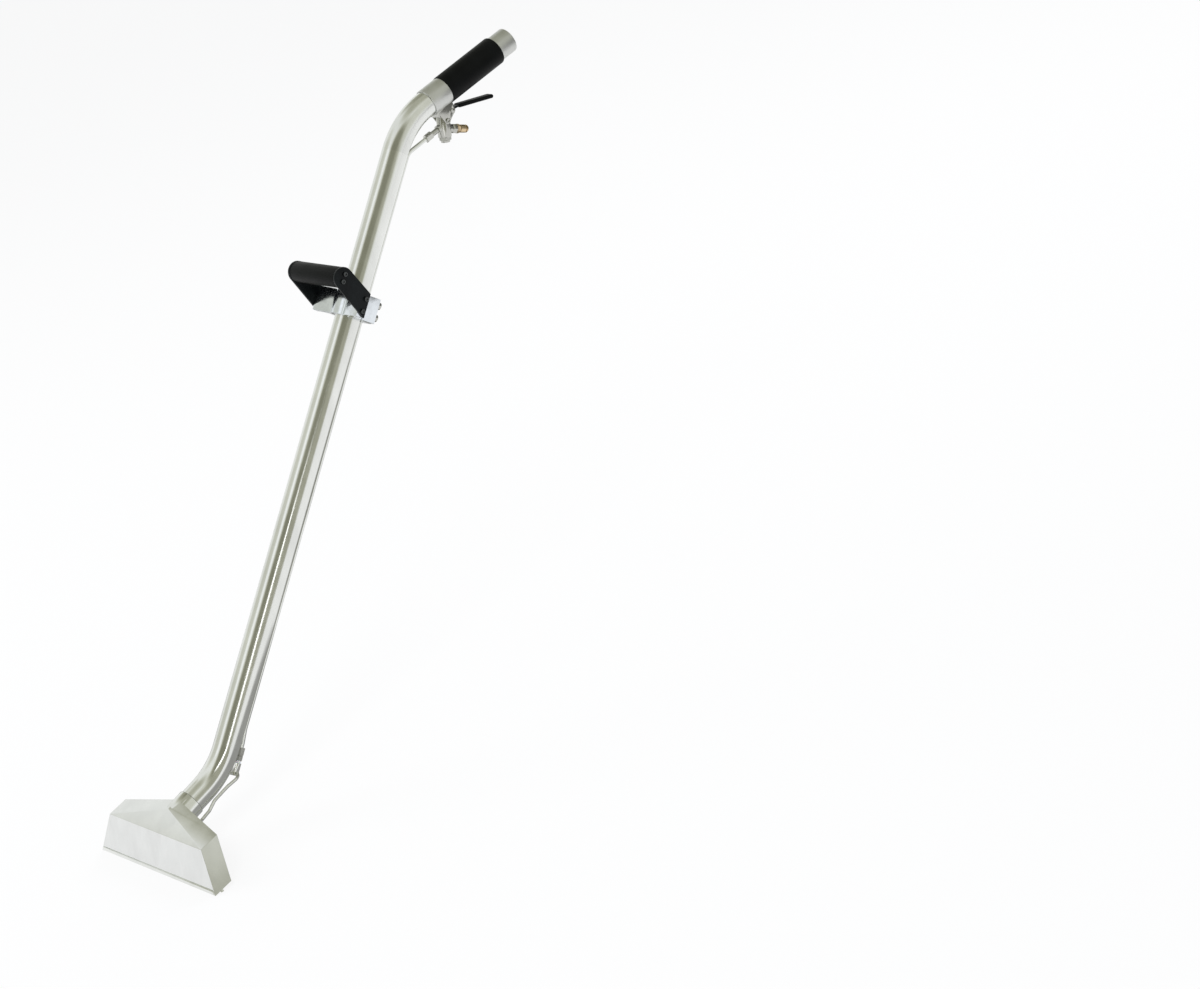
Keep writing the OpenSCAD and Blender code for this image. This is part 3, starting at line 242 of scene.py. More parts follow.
def joined(rings, loop=True):
    """Points and faces of rings that follow each other."""
    return [point for ring_points in rings for point in ring_points], grid_faces(len(rings), len(rings[0]), loop)


def ring(sides, radius, height):
    """Points round z. The radius and the height are numbers, or functions of the angle."""
    points = []
    for j in range(sides):
        a = math.tau * j / sides
        r = radius(a) if callable(radius) else radius
        z = height(a) if callable(height) else height
        points.append((r * math.cos(a), r * math.sin(a), z))
    return points


def turned(profile, sides=CIRCLE, loop=True):
    """An outline of (radius, height) turned round z. It is a closed loop, or starts and ends on the axis."""
    return joined([ring(sides, r, z) for r, z in profile], loop)


def shaded(mesh, degrees):
    """Shades a mesh smooth, but for its edges that are sharper than this."""
    mesh.shade_smooth()
    mesh.set_sharp_from_angle(angle=math.radians(degrees))
    return mesh


def solid_mesh(name, points, faces, matrix, smooth=35):
    mesh = bpy.data.meshes.new(name)
    mesh.from_pydata([matrix @ Vector(p) for p in points], [], faces)
    work = bmesh.new()
    work.from_mesh(mesh)
    bmesh.ops.remove_doubles(work, verts=work.verts, dist=SAME_POINT)
    bmesh.ops.recalc_face_normals(work, faces=work.faces)
    work.to_mesh(mesh)
    work.free()
    return shaded(mesh, smooth)


def quarter(x, y, radius, start, steps):
    """Points on a quarter of a circle round (x, y), from the angle start on."""
    angles = [math.radians(start + 90 * k / steps) for k in range(steps + 1)]
    return [(x + radius * math.cos(a), y + radius * math.sin(a)) for a in angles]


def eased(r_in, r_out, low, high, soft=0.3 * MM, steps=3, inner=None):
    """The outline of a ring whose outer edges are rounded by soft, and its inner ones by inner."""
    inner = min(soft, 0.3 * MM) if inner is None else inner
    return (
        quarter(r_in + inner, low + inner, inner, 180, steps) + quarter(r_out - soft, low + soft, soft, 270, steps)
        + quarter(r_out - soft, high - soft, soft, 0, steps) + quarter(r_in + inner, high - inner, inner, 90, steps)
    )


def rounded_box(half_x, half_y, r, steps=5):
    """The outline of a rectangle with rounded corners."""
    x, y = half_x - r, half_y - r
    corners = ((x, y, 0), (-x, y, 90), (-x, -y, 180), (x, -y, 270))
    return [point for cx, cy, start in corners for point in quarter(cx, cy, r, start, steps)]


def hexed(across_flats, low, high, bore, chamfer=(True, True), sides=72):
    """A hex with a bore, its corners turned off at 30 degrees as on a real nut."""
    flat, rim = across_flats / 2, 0.25 * MM
    at_low, at_high = (math.tan(math.radians(30)) if side else 0 for side in chamfer)

    def reach(a):
        return flat / math.cos((a + math.pi / 6) % (math.pi / 3) - math.pi / 6)

    def past_rim(a):
        return reach(a) - flat + rim

    profile = [
        (bore, low), (flat - rim, low), (reach, lambda a: low + at_low * past_rim(a)),
        (reach, lambda a: high - at_high * past_rim(a)), (flat - rim, high), (bore, high),
    ]
    kept = (True, chamfer[0], True, True, chamfer[1], True)
    return turned([pair for pair, keep in zip(profile, kept) if keep], sides)


def drawn_out(outline, low, high):
    """A closed outline of (x, y) drawn out along z from low to high."""
    n = len(outline)
    points = [(x, y, z) for z in (low, high) for x, y in outline]
    return points, grid_faces(2, n, False) + [tuple(range(n - 1, -1, -1)), tuple(range(n, 2 * n))]


def wrapped(start, end, centre, r, steps=32):
    """The outline from start to end round a circle, along its tangents."""
    def touch(point, side):
        away = point - centre
        return math.atan2(away.y, away.x) + side * math.acos(r / away.length)

    first, last = touch(start, 1), touch(end, -1)
    if last < first:
        last += 2 * math.pi
    angles = [first + (last - first) * k / steps for k in range(steps + 1)]
    return [(centre.x + r * math.cos(a), centre.y + r * math.sin(a)) for a in angles]


def screw_shape(thread, grip_length, head):
    """A socket head screw: eased head, hex socket and a plain shank. Its z points out of the head."""
    reach, key, rim = 0.875 * thread, 0.45 * thread, 0.12 * MM
    ease = min(0.35 * MM, head / 4)

    def socket(a):
        return key * math.cos(math.pi / 6) / math.cos(a % (math.pi / 3) - math.pi / 6)

    return turned((
        (0.0, -grip_length), (thread / 2, -grip_length), (thread / 2, 0), (reach - ease / 2, 0), (reach, ease / 2),
        (reach, head - ease), (reach - 0.3 * ease, head - 0.3 * ease), (reach - ease, head), (key + rim, head),
        (socket, head - rim), (socket, head / 2), (0.0, head / 2 - 0.1 * MM),
    ), FINE, False)


def orifice_shape(low):
    """The turned end of a jet, with the cut across it that spreads the spray."""
    cut, lip = 0.6 * MM, 0.45 * MM

    def height(r, z):
        return lambda a: low + z + (cut if abs(r * math.sin(a)) < cut and z < lip else 0)

    outline = ((2.0, 1.2), (0.6, 1.0), (0.6, 0.5), (0.9, 0.12), (3.6, 0.0), (4.05, 0.15), (4.4, 1.05), (2.0, 1.3))
    return turned([(r * MM, height(r * MM, z * MM)) for r, z in outline], 64)


def taped(r_in, r_out, low, high, seed, sides=FINE):
    """A lumpy winding of thread tape, whose layers lie a little askew."""
    random.seed(seed)
    layers = [(random.uniform(0.86, 1.0), random.uniform(-0.25, 0.25) * MM) for _ in range(6)]
    count, edge = 14, 0.1 * MM
    rings = [ring(sides, r_in, low + edge)]
    for k in range(count + 1):
        layer, skew = layers[int(k * len(layers) / (count + 1))]
        within = 0 < k < count

        def radius(a):
            lump = noise.noise(Vector((3 * math.cos(a), 3 * math.sin(a), k * 0.9 + seed)))
            return r_out * layer * (1 - 0.05 * (1 + lump)) if within else (r_in + r_out) / 2

        def height(a):
            z = low + (high - low) * k / count + skew * math.sin(a + k) * within
            return min(max(z, low), high)

        rings.append(ring(sides, radius, height))
    rings.append(ring(sides, r_in, high - edge))
    return joined(rings)


def route(points, radius, step):
    """Points along a line whose corners are rounded to radius, or to what fits between them."""
    points = [Vector(p) for p in points]
    lengths = [(b - a).length for a, b in zip(points, points[1:])]
    ways = [(b - a).normalized() for a, b in zip(points, points[1:])]
    room = [lengths[0]] + [n / 2 for n in lengths[1:-1]] + [lengths[-1]]
    line = [points[0]]
    for i, (corner, way, out) in enumerate(zip(points[1:-1], ways, ways[1:])):
        turn = way.angle(out)
        r = min(radius, 0.98 * min(room[i], room[i + 1]) / math.tan(turn / 2))
        start = corner - r * math.tan(turn / 2) * way
        inward = (out - way * out.dot(way)).normalized()
        count = max(5, int(turn * r / step))
        line += [
            start + r * (math.sin(turn * k / count) * way + (1 - math.cos(turn * k / count)) * inward)
            for k in range(count + 1)
        ]
    return line + [points[-1]]


def swept_tube(line, r_in, r_out, sides=CIRCLE):
    """A tube with a wall along a line that stays in the plane across x."""
    rings = []
    last = len(line) - 1
    for radius, order in ((r_out, range(last + 1)), (r_in, range(last, -1, -1))):
        for i in order:
            way = (line[min(i + 1, last)] - line[max(i - 1, 0)]).normalized()
            other = way.cross(ACROSS)
            angles = [math.tau * j / sides for j in range(sides)]
            rings.append([line[i] + radius * (math.cos(a) * ACROSS + math.sin(a) * other) for a in angles])
    return joined(rings)


# ---- Pieces ----
def plain(made):
    """Turns the piece's modifiers into a plain mesh."""
    graph = bpy.context.evaluated_depsgraph_get()
    mesh = bpy.data.meshes.new_from_object(made.evaluated_get(graph), depsgraph=graph)
    made.modifiers.clear()
    old, made.data = made.data, mesh
    bpy.data.meshes.remove(old)
    return made


def paint(mesh, finish_name):
    mesh.materials.clear()
    mesh.materials.append(finish(finish_name))


def piece(name, mesh, finish_name, body, slot, *nodes):
    """Adds a finished piece to the scene, hangs it on its body's empty, and hides the CAD nodes that it replaces."""
    made = bpy.data.objects.new(name, mesh)
    bpy.context.scene.collection.objects.link(made)
    if finish_name is not None:
        paint(mesh, finish_name)
    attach(made, body)
    if nodes:
        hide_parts(*nodes)
    return made


def form(name, shape, at, finish_name, body, slot, *nodes, smooth=35):
    """A piece made of a shape's points and faces, set at a frame."""
    return piece(name, solid_mesh(name, *shape, at, smooth), finish_name, body, slot, *nodes)


def eased_edges(made, width, steps, fold=38, smooth=32):
    """Rounds a piece's edges that are sharper than fold, and makes it a plain mesh."""
    ease = made.modifiers.new("edges", "BEVEL")
    ease.width, ease.segments = width, steps
    ease.limit_method, ease.angle_limit = "ANGLE", math.radians(fold)
    ease.use_clamp_overlap = True
    shaded(plain(made).data, smooth)
    return made


def dressed(node, finish_name, body, slot, edge, steps=2, smooth=32, fold=38):
    """A CAD node's own shape as a piece: its loose triangles joined, and its edges sharper than fold eased."""
    mesh = frame["nodes"][node].data.copy()
    work = bmesh.new()
    work.from_mesh(mesh)
    bmesh.ops.remove_doubles(work, verts=work.verts, dist=SAME_POINT)
    bmesh.ops.dissolve_limit(
        work, angle_limit=math.radians(0.6), use_dissolve_boundaries=False, verts=work.verts, edges=work.edges
    )
    work.to_mesh(mesh)
    work.free()
    return eased_edges(piece(node + "_dressed", mesh, finish_name, body, slot, node), edge, steps, fold, smooth)


# ---- Finishes ----
class Nodes:
    """The nodes of a tree, laid out one after another."""

    def __init__(self, tree):
        self.tree = tree

    def feed(self, node, *inputs, **named):
        """Gives a node's inputs values or links, in their order or by name."""
        for key, value in (*enumerate(inputs), *named.items()):
            socket = node.inputs[key.replace("_", " ") if isinstance(key, str) else key]
            if isinstance(value, bpy.types.NodeSocket):
                self.tree.links.new(value, socket)
            else:
                socket.default_value = value
        return node

    def add(self, kind, settings=None, *inputs, **named):
        node = self.tree.nodes.new(kind)
        for key, value in (settings or {}).items():
            setattr(node, key, value)
        return self.feed(node, *inputs, **named)

    def sum(self, a, b, operation="ADD"):
        return self.add("ShaderNodeMath", {"operation": operation}, a, b).outputs[0]

    def spread(self, source, low, high, near=0.3, far=0.7, way="LINEAR"):
        """Maps what lies from near to far onto low to high."""
        return self.add(
            "ShaderNodeMapRange", {"interpolation_type": way}, Value=source, From_Min=near, From_Max=far, To_Min=low,
            To_Max=high,
        ).outputs["Result"]

    def mixed(self, factor, first, second):
        """A mix of two shaders."""
        return self.add("ShaderNodeMixShader", None, factor, first, second).outputs[0]

    def tinted(self, factor, first, second):
        """A mix of two colours."""
        return self.add("ShaderNodeMix", {"data_type": "RGBA"}, Factor=factor, A=first, B=second).outputs["Result"]


class Recipe(Nodes):
    """A material's nodes."""

    def __init__(self, name):
        self.material = bpy.data.materials.new(name)
        self.material.use_nodes = True
        super().__init__(self.material.node_tree)
        self.shader = self.tree.nodes["Principled BSDF"]

    def coordinates(self, scale=(1, 1, 1), turn=(0, 0, 0), move=(0, 0, 0)):
        spot = self.add("ShaderNodeTexCoord").outputs["Object"]
        return self.add("ShaderNodeMapping", None, Vector=spot, Scale=scale, Rotation=turn, Location=move).outputs[0]

    def noise(self, scale, detail=2, rough=0.5, stretch=(1, 1, 1), turn=(0, 0, 0)):
        spot = self.coordinates(stretch, turn)
        return self.add(
            "ShaderNodeTexNoise", None, Vector=spot, Scale=scale, Detail=detail, Roughness=rough
        ).outputs["Fac"]

    def ball(self, vector):
        """1 in the middle of a ball of radius 1, and 0 at its skin."""
        return self.add("ShaderNodeTexGradient", {"gradient_type": "SPHERICAL"}, vector).outputs["Fac"]

    def ramp(self, source, *stops):
        node = self.add("ShaderNodeValToRGB", None, source)
        elements = node.color_ramp.elements
        while len(elements) < len(stops):
            elements.new(0.5)
        for element, (place, colour) in zip(elements, stops):
            element.position = place
            element.color = (*colour, 1)
        return node.outputs["Color"]

    def bumps(self, height, depth, strength):
        bump = self.add("ShaderNodeBump", None, Height=height, Distance=depth, Strength=strength)
        self.fix(Normal=bump.outputs["Normal"])

    def fix(self, **values):
        self.feed(self.shader, **values)
        return self.material

    def show(self, shader):
        self.feed(self.tree.nodes["Material Output"], Surface=shader)
        return self.material


def shade(colour, factor):
    return tuple(min(1.0, c * factor) for c in colour)


def metal(recipe, colour, patch, rough, lines, scratched, depth, strength):
    """Metal whose roughness drifts in patches, under fine lines that catch the light."""
    recipe.bumps(lines, depth, strength)
    worn = recipe.sum(recipe.spread(patch, *rough), recipe.spread(lines, *scratched))
    return recipe.fix(Base_Color=colour, Roughness=worn, Metallic=1.0)


def polished_steel(name, colour, turn=(0, 0, 0), low=0.12, high=0.2, grain=2600, depth=0.0015 * MM):
    """Steel polished along one direction: fine lines, a soft haze and faint wiping marks."""
    recipe = Recipe(name)
    lines = recipe.noise(grain, stretch=(1, 1, 0.012), turn=turn)
    haze = recipe.noise(26, 4, 0.6, (1, 1, 0.35), turn)
    tone = recipe.ramp(haze, (0.3, shade(colour, 0.92)), (0.7, shade(colour, 1.05)))
    return metal(recipe, tone, haze, (low, high), lines, (-0.02, 0.04), depth, 0.6)


def heat_tinted_plate(name, colour, centre):
    """Satin sheet, straw and blue where the weld heated it, with dried drops and dull wiping marks."""
    recipe = Recipe(name)
    haze = recipe.noise(34, 3, 0.55)
    lines = recipe.noise(1500, stretch=(0.02, 1, 1))
    reach = (27, 27, 24)
    around = recipe.coordinates(reach, move=tuple(-k * c for k, c in zip(reach, centre)))
    heated = recipe.ramp(
        recipe.sum(recipe.ball(around), recipe.spread(haze, -0.05, 0.05)),
        (0.0, colour), (0.22, shade(colour, 0.95)), (0.36, (0.55, 0.49, 0.38)), (0.43, (0.42, 0.42, 0.46)),
        (0.5, shade(colour, 0.8)),
    )
    stained = recipe.tinted(recipe.spread(haze, 0.0, 0.35, 0.45, 0.75), heated, (*shade(colour, 0.72), 1))
    return metal(recipe, stained, haze, (0.14, 0.26), lines, (0, 0.05), 0.002 * MM, 0.5)


def machined_brass(name, colour):
    """Brass fresh off the lathe: turning lines, and darker, duller patches."""
    recipe = Recipe(name)
    dull, lines = recipe.noise(140, 4, 0.6), recipe.noise(900, stretch=(1, 1, 9))
    tone = recipe.ramp(dull, (0.28, shade(colour, 0.62)), (0.5, colour), (0.75, shade(colour, 1.1)))
    return metal(recipe, tone, dull, (0.3, 0.16), lines, (-0.03, 0.05), 0.01 * MM, 0.5)


def polished_alloy(name, colour):
    """Cast alloy, buffed bright: small pits and cross-wise buffing lines."""
    recipe = Recipe(name)
    pits, buff = recipe.noise(70, 5, 0.7), recipe.noise(1400, 3, stretch=(0.03, 1, 1))
    tone = recipe.ramp(pits, (0.3, shade(colour, 0.82)), (0.65, colour))
    return metal(recipe, tone, pits, (0.22, 0.1), buff, (-0.02, 0.05), 0.006 * MM, 0.6)


def weld_metal(name, dark, light):
    """Weld beads: bright crowns, oxide and heat colour between them."""
    recipe = Recipe(name)
    crust = recipe.noise(420, 4, 0.7)
    recipe.bumps(crust, 0.12 * MM, 0.5)
    tone = recipe.ramp(crust, (0.32, dark), (0.5, shade(light, 0.8)), (0.68, light))
    return recipe.fix(Base_Color=tone, Roughness=recipe.spread(crust, 0.42, 0.2), Metallic=1.0)


def wound_tape(name, colour):
    """White thread tape: matt, with the edges of its windings and frayed threads."""
    recipe = Recipe(name)
    fray = recipe.noise(900, 4, 0.7, (1, 1, 3))
    recipe.bumps(fray, 0.08 * MM, 0.6)
    tone = recipe.ramp(fray, (0.3, shade(colour, 0.86)), (0.7, shade(colour, 1.06)))
    return recipe.fix(
        Base_Color=tone, Roughness=recipe.spread(fray, 0.45, 0.7), Subsurface_Weight=0.15, Subsurface_Scale=0.001,
        IOR=1.38,
    )


def soft_vinyl(name, colour, grain=1500, low=0.38, high=0.52, depth=0.05 * MM):
    """Moulded vinyl: a fine leathery grain, hand-polished patches and dust in the grain."""
    recipe = Recipe(name)
    leather = recipe.add("ShaderNodeTexVoronoi", None, Vector=recipe.coordinates(), Scale=grain)
    recipe.bumps(leather.outputs["Distance"], depth, 0.35)
    patch = recipe.noise(30, 4, 0.6)
    tone = recipe.ramp(patch, (0.3, colour), (0.72, shade(colour, 1.9)))
    return recipe.fix(Base_Color=tone, Roughness=recipe.spread(patch, low, high), IOR=1.5, Specular_IOR_Level=0.08)


def satin_paint(name, colour):
    """Black powder paint: slight orange peel, a few brighter rubs."""
    recipe = Recipe(name)
    recipe.bumps(recipe.noise(520), 0.06 * MM, 0.25)
    rubs = recipe.noise(55, 5, 0.65, (1, 1, 0.4))
    tone = recipe.ramp(rubs, (0.4, colour), (0.75, shade(colour, 2.6)))
    return recipe.fix(Base_Color=tone, Roughness=recipe.spread(rubs, 0.24, 0.4), IOR=1.5, Specular_IOR_Level=0.13)


def plain_rubber(name):
    """Black rubber with a greyish bloom."""
    recipe = Recipe(name)
    bloom = recipe.noise(300, 4, 0.6)
    tone = recipe.ramp(bloom, (0.3, (0.02, 0.018, 0.016)), (0.7, (0.06, 0.05, 0.045)))
    return recipe.fix(Base_Color=tone, Roughness=recipe.spread(bloom, 0.6, 0.8), IOR=1.5)


FINISHES = {}


def finish(name):
    """The finish of that name, made when it is first asked for."""
    if name in FINISHES:
        return FINISHES[name]
    scene = bpy.context.scene
    colours, tube = scene.wand_colours, scene.wand_tube
    steel, plate, fittings, vinyl = (tuple(c) for c in (colours.steel, colours.plate, colours.fittings, colours.vinyl))
    still, crosswise = (0, 0, 0), (0, math.pi / 2, 0)
    coarse = (900, 0.008 * MM)
    maker, *values = {
        "lower_steel": (polished_steel, steel, (tube.lower_lean, 0, 0), 0.07, 0.15),
        "lance_steel": (polished_steel, steel, (tube.lance_lean, 0, 0)),
        "handle_steel": (polished_steel, steel, (tube.handle_lean, 0, 0), 0.15, 0.25),
        "satin_steel": (polished_steel, shade(steel, 0.8), (tube.handle_lean, 0, 0), 0.34, 0.46, 1500, 0.004 * MM),
        "head_steel": (polished_steel, plate, crosswise, 0.10, 0.2, 1800),
        "bar_steel": (polished_steel, steel, crosswise, 0.05, 0.14),
        "nut_steel": (polished_steel, shade(fittings, 1.2), still, 0.1, 0.2, 1400),
        "plated": (polished_steel, fittings, still, 0.14, 0.28, *coarse),
        "blackened": (polished_steel, (0.075, 0.08, 0.08), still, 0.3, 0.42, *coarse),
        "plate_steel": (heat_tinted_plate, shade(plate, 0.82), horn_foot(scene.wand_head)),
        "weld": (weld_metal, (0.16, 0.14, 0.12), shade(steel, 0.95)),
        "dark_weld": (weld_metal, (0.12, 0.11, 0.10), shade(steel, 0.75)),
        "brass": (machined_brass, tuple(colours.brass)),
        "plug_brass": (machined_brass, tuple(colours.plug)),
        "tape": (wound_tape, tuple(colours.tape)),
        "vinyl": (soft_vinyl, vinyl),
        "dipped": (soft_vinyl, shade(vinyl, 0.9), 900, 0.3, 0.42, 0.03 * MM),
        "paint": (satin_paint, tuple(colours.paint)),
        "alloy": (polished_alloy, tuple(colours.alloy)),
        "rubber": (plain_rubber,),
    }[name]
    FINISHES[name] = maker(name, *values)
    return FINISHES[name]


# ---- Geometry Nodes ----
class Tree(Nodes):
    """A Geometry Nodes tree with named inputs that ends in Realize Instances and Set Material."""

    def __init__(self, name, inputs):
        super().__init__(bpy.data.node_groups.new(name, "GeometryNodeTree"))
        self.tree.is_modifier = True
        face = self.tree.interface
        for way in ("OUTPUT", "INPUT"):
            face.new_socket("Geometry", in_out=way, socket_type="NodeSocketGeometry")
        self.sockets = {}
        for label, kind, value in (*inputs, ("Finish", "Material", None)):
            socket = face.new_socket(label, in_out="INPUT", socket_type="NodeSocket" + kind)
            if value is not None:
                socket.default_value = value
            self.sockets[label] = socket.identifier
        self.start = self.tree.nodes.new("NodeGroupInput")

    def add(self, kind, settings=None, *inputs, **named):
        whole_name = kind if kind.startswith(("Function", "Shader", "Node")) else "GeometryNode" + kind
        return super().add(whole_name, settings, *inputs, **named)

    def given(self, label):
        return self.start.outputs[label]

    def close(self, geometry):
        whole = self.add("RealizeInstances", Geometry=geometry)
        smooth = self.add("SetShadeSmooth", Geometry=whole.outputs[0], Shade_Smooth=True)
        done = self.add("SetMaterial", Geometry=smooth.outputs[0], Material=self.given("Finish"))
        self.add("NodeGroupOutput", None, done.outputs[0])
        return self

    def run(self, name, mesh, finish_name, body, slot, *nodes, **values):
        """A piece made by this tree from a small mesh of places."""
        made = piece(name, mesh, None, body, slot, *nodes)
        worker = made.modifiers.new(name, "NODES")
        worker.node_group = self.tree
        worker[self.sockets["Finish"]] = finish(finish_name)
        for label, value in values.items():
            worker[self.sockets[label.replace("_", " ")]] = value
        made.data.update()
        bpy.context.view_layer.update()
        return plain(made)


def line_mesh(name, points, closed=False):
    mesh = bpy.data.meshes.new(name)
    edges = [(i, i + 1) for i in range(len(points) - 1)]
    if closed:
        edges.append((len(points) - 1, 0))
    mesh.from_pydata([Vector(p) for p in points], edges, [])
    return mesh


def places_mesh(name, frames):
    """One point for each copy, with the direction that its z and x point in."""
    mesh = bpy.data.meshes.new(name)
    mesh.from_pydata([m.translation for m in frames], [], [])
    for label, column in (("facing", 2), ("sideways", 0)):
        attribute = mesh.attributes.new(label, "FLOAT_VECTOR", "POINT")
        attribute.data.foreach_set("vector", [c for m in frames for c in m.col[column][:3]])
    return mesh


def copies_tree():
    """Sets copies of a template out on points that say where each one faces."""
    tree = Tree("set_out_copies", [("Template", "Object", None), ("Size", "Float", 1.0)])
    template = tree.add("ObjectInfo", Object=tree.given("Template"))
    facing_way, side_way = (
        tree.add("InputNamedAttribute", {"data_type": "FLOAT_VECTOR"}, Name=label).outputs["Attribute"]
        for label in ("facing", "sideways")
    )
    up = tree.add("FunctionNodeAlignRotationToVector", {"axis": "Z"}, Vector=facing_way)
    turn = tree.add(
        "FunctionNodeAlignRotationToVector", {"axis": "X", "pivot_axis": "Z"}, Vector=side_way, Rotation=up.outputs[0]
    )
    spots = tree.add("MeshToPoints", Mesh=tree.given("Geometry"))
    copies = tree.add(
        "InstanceOnPoints", Points=spots.outputs[0], Instance=template.outputs["Geometry"], Rotation=turn.outputs[0],
        Scale=tree.given("Size"),
    )
    return tree.close(copies.outputs[0])


def stitches_tree():
    """Overlapping weld beads along a line, each a drop a little larger or smaller than the last."""
    tree = Tree("weld_stitches", [
        ("Bead radius", "Float", 1.6 * MM), ("Pitch", "Float", 1.5 * MM), ("Unevenness", "Float", 0.12),
        ("Seed", "Int", 4),
    ])
    path = tree.add("MeshToCurve", Mesh=tree.given("Geometry"))
    spots = tree.add("CurveToPoints", {"mode": "LENGTH"}, Curve=path.outputs[0], Length=tree.given("Pitch"))
    drop = tree.add("MeshUVSphere", Segments=14, Rings=9, Radius=1.0)
    uneven = tree.given("Unevenness")
    chance = tree.add("FunctionNodeRandomValue", {"data_type": "FLOAT"}, Seed=tree.given("Seed"))
    lowest, highest = tree.sum(1.0, uneven, "SUBTRACT"), tree.sum(1.0, uneven)
    for socket, value in zip([s for s in chance.inputs if s.enabled], (lowest, highest)):
        tree.tree.links.new(value, socket)
    factor = next(s for s in chance.outputs if s.enabled)
    copies = tree.add(
        "InstanceOnPoints", Points=spots.outputs["Points"], Instance=drop.outputs["Mesh"],
        Rotation=spots.outputs["Rotation"], Scale=tree.sum(factor, tree.given("Bead radius"), "MULTIPLY"),
    )
    return tree.close(copies.outputs[0])


def pipe_tree():
    """A round pipe along a line."""
    tree = Tree("round_pipe", [("Diameter", "Float", 6 * MM), ("Sides", "Int", 40)])
    path = tree.add("MeshToCurve", Mesh=tree.given("Geometry"))
    radius = tree.sum(tree.given("Diameter"), 0.5, "MULTIPLY")
    outline = tree.add("CurvePrimitiveCircle", Resolution=tree.given("Sides"), Radius=radius)
    skin = tree.add("CurveToMesh", Curve=path.outputs[0], Profile_Curve=outline.outputs[0], Fill_Caps=True)
    return tree.close(skin.outputs[0])


TREES = {}


def tree(maker):
    if maker not in TREES:
        TREES[maker] = maker()
    return TREES[maker]


def pipe(name, points, diameter, finish_name, body, slot, *nodes):
    made = tree(pipe_tree).run(name, line_mesh(name, points), finish_name, body, slot, *nodes, Diameter=diameter)
    shaded(made.data, 50)
    return made


def weld(name, points, radius, pitch, finish_name, *nodes, closed=False, seed=4):
    return tree(stitches_tree).run(
        name, line_mesh(name, points, closed), finish_name, "wand", STEEL, *nodes,
        Bead_radius=radius, Pitch=pitch, Seed=seed,
    )


def set_out(name, shape, frames, finish_name, body, slot, *nodes):
    """Copies of one shape, given by its points and faces, at each frame."""
    template = bpy.data.objects.new(name + "_template", solid_mesh(name + "_template", *shape, UNMOVED))
    made = tree(copies_tree).run(
        name, places_mesh(name, frames), finish_name, body, slot, *nodes, Template=template, Size=1.0
    )
    shaded(made.data, 35)
    bpy.data.objects.remove(template)
    return made


TO_PLUS_X = Matrix.Rotation(math.pi / 2, 4, "Y")
TO_MINUS_X = Matrix.Rotation(-math.pi / 2, 4, "Y")
TO_PLUS_Y = Matrix.Rotation(-math.pi / 2, 4, "X")


def moved(frame_at, x, y, z, turn=UNMOVED):
    return frame_at @ Matrix.Translation((x, y, z)) @ turn


# ---- Operators ----
class Step(bpy.types.Operator):
    """Builds one group of pieces."""

    bl_options = {"REGISTER", "UNDO"}


class WAND_OT_head(Step):
    """Build the head's shell, back plate, lips, brace and horn"""

    bl_idname = "wand.head"
    bl_label = "Head"

    def execute(self, context):
        dressed("front_shell", "head_steel", "wand", STEEL, 0.7 * MM, 3, smooth=16, fold=7)
        for node, finish_name, edge in (
            ("back_plate", "plate_steel", 0.3 * MM), ("front_lip", "bar_steel", 0.3 * MM),
            ("rear_lip", "bar_steel", 0.3 * MM), ("brace_tube", "plated", 0.3 * MM),
            ("brace_tab", "plate_steel", 0.5 * MM), ("horn", "lower_steel", 0.25 * MM),
        ):
            dressed(node, finish_name, "wand", STEEL, edge)
        return {"FINISHED"}


class WAND_OT_welds(Step):
    """Run the stitched welds round the horn and the neck"""

    bl_idname = "wand.welds"
    bl_label = "Welds"

    def execute(self, context):
        scene = context.scene
        places, tube, head = Places(scene), scene.wand_tube, scene.wand_head
        half_w = places.sleeve_out
        half_h = half_w / math.cos(math.pi / 2 - tube.lower_lean + head.face_lean)
        proud = 0.35 * MM

        def on_horn(degrees):
            a = math.radians(degrees)
            x, up = math.cos(a) * (half_w + proud), head.horn_height + math.sin(a) * (half_h + proud)
            return places.face @ Vector((x, head.plate + 0.2 * MM, up))

        def on_neck(degrees):
            a, r = math.radians(degrees), tube.outer / 2 + 0.5 * MM
            return places.lower @ Vector((r * math.cos(a), r * math.sin(a), proud))

        weld("horn_stitches", [on_horn(156 + 2 * k) for k in range(115)], 1.55 * MM, 1.35 * MM, "weld", "horn_weld")
        weld(
            "neck_stitches", [on_neck(3 * k) for k in range(120)], 0.75 * MM, 0.8 * MM, "dark_weld", "neck_weld",
            closed=True, seed=7,
        )
        return {"FINISHED"}


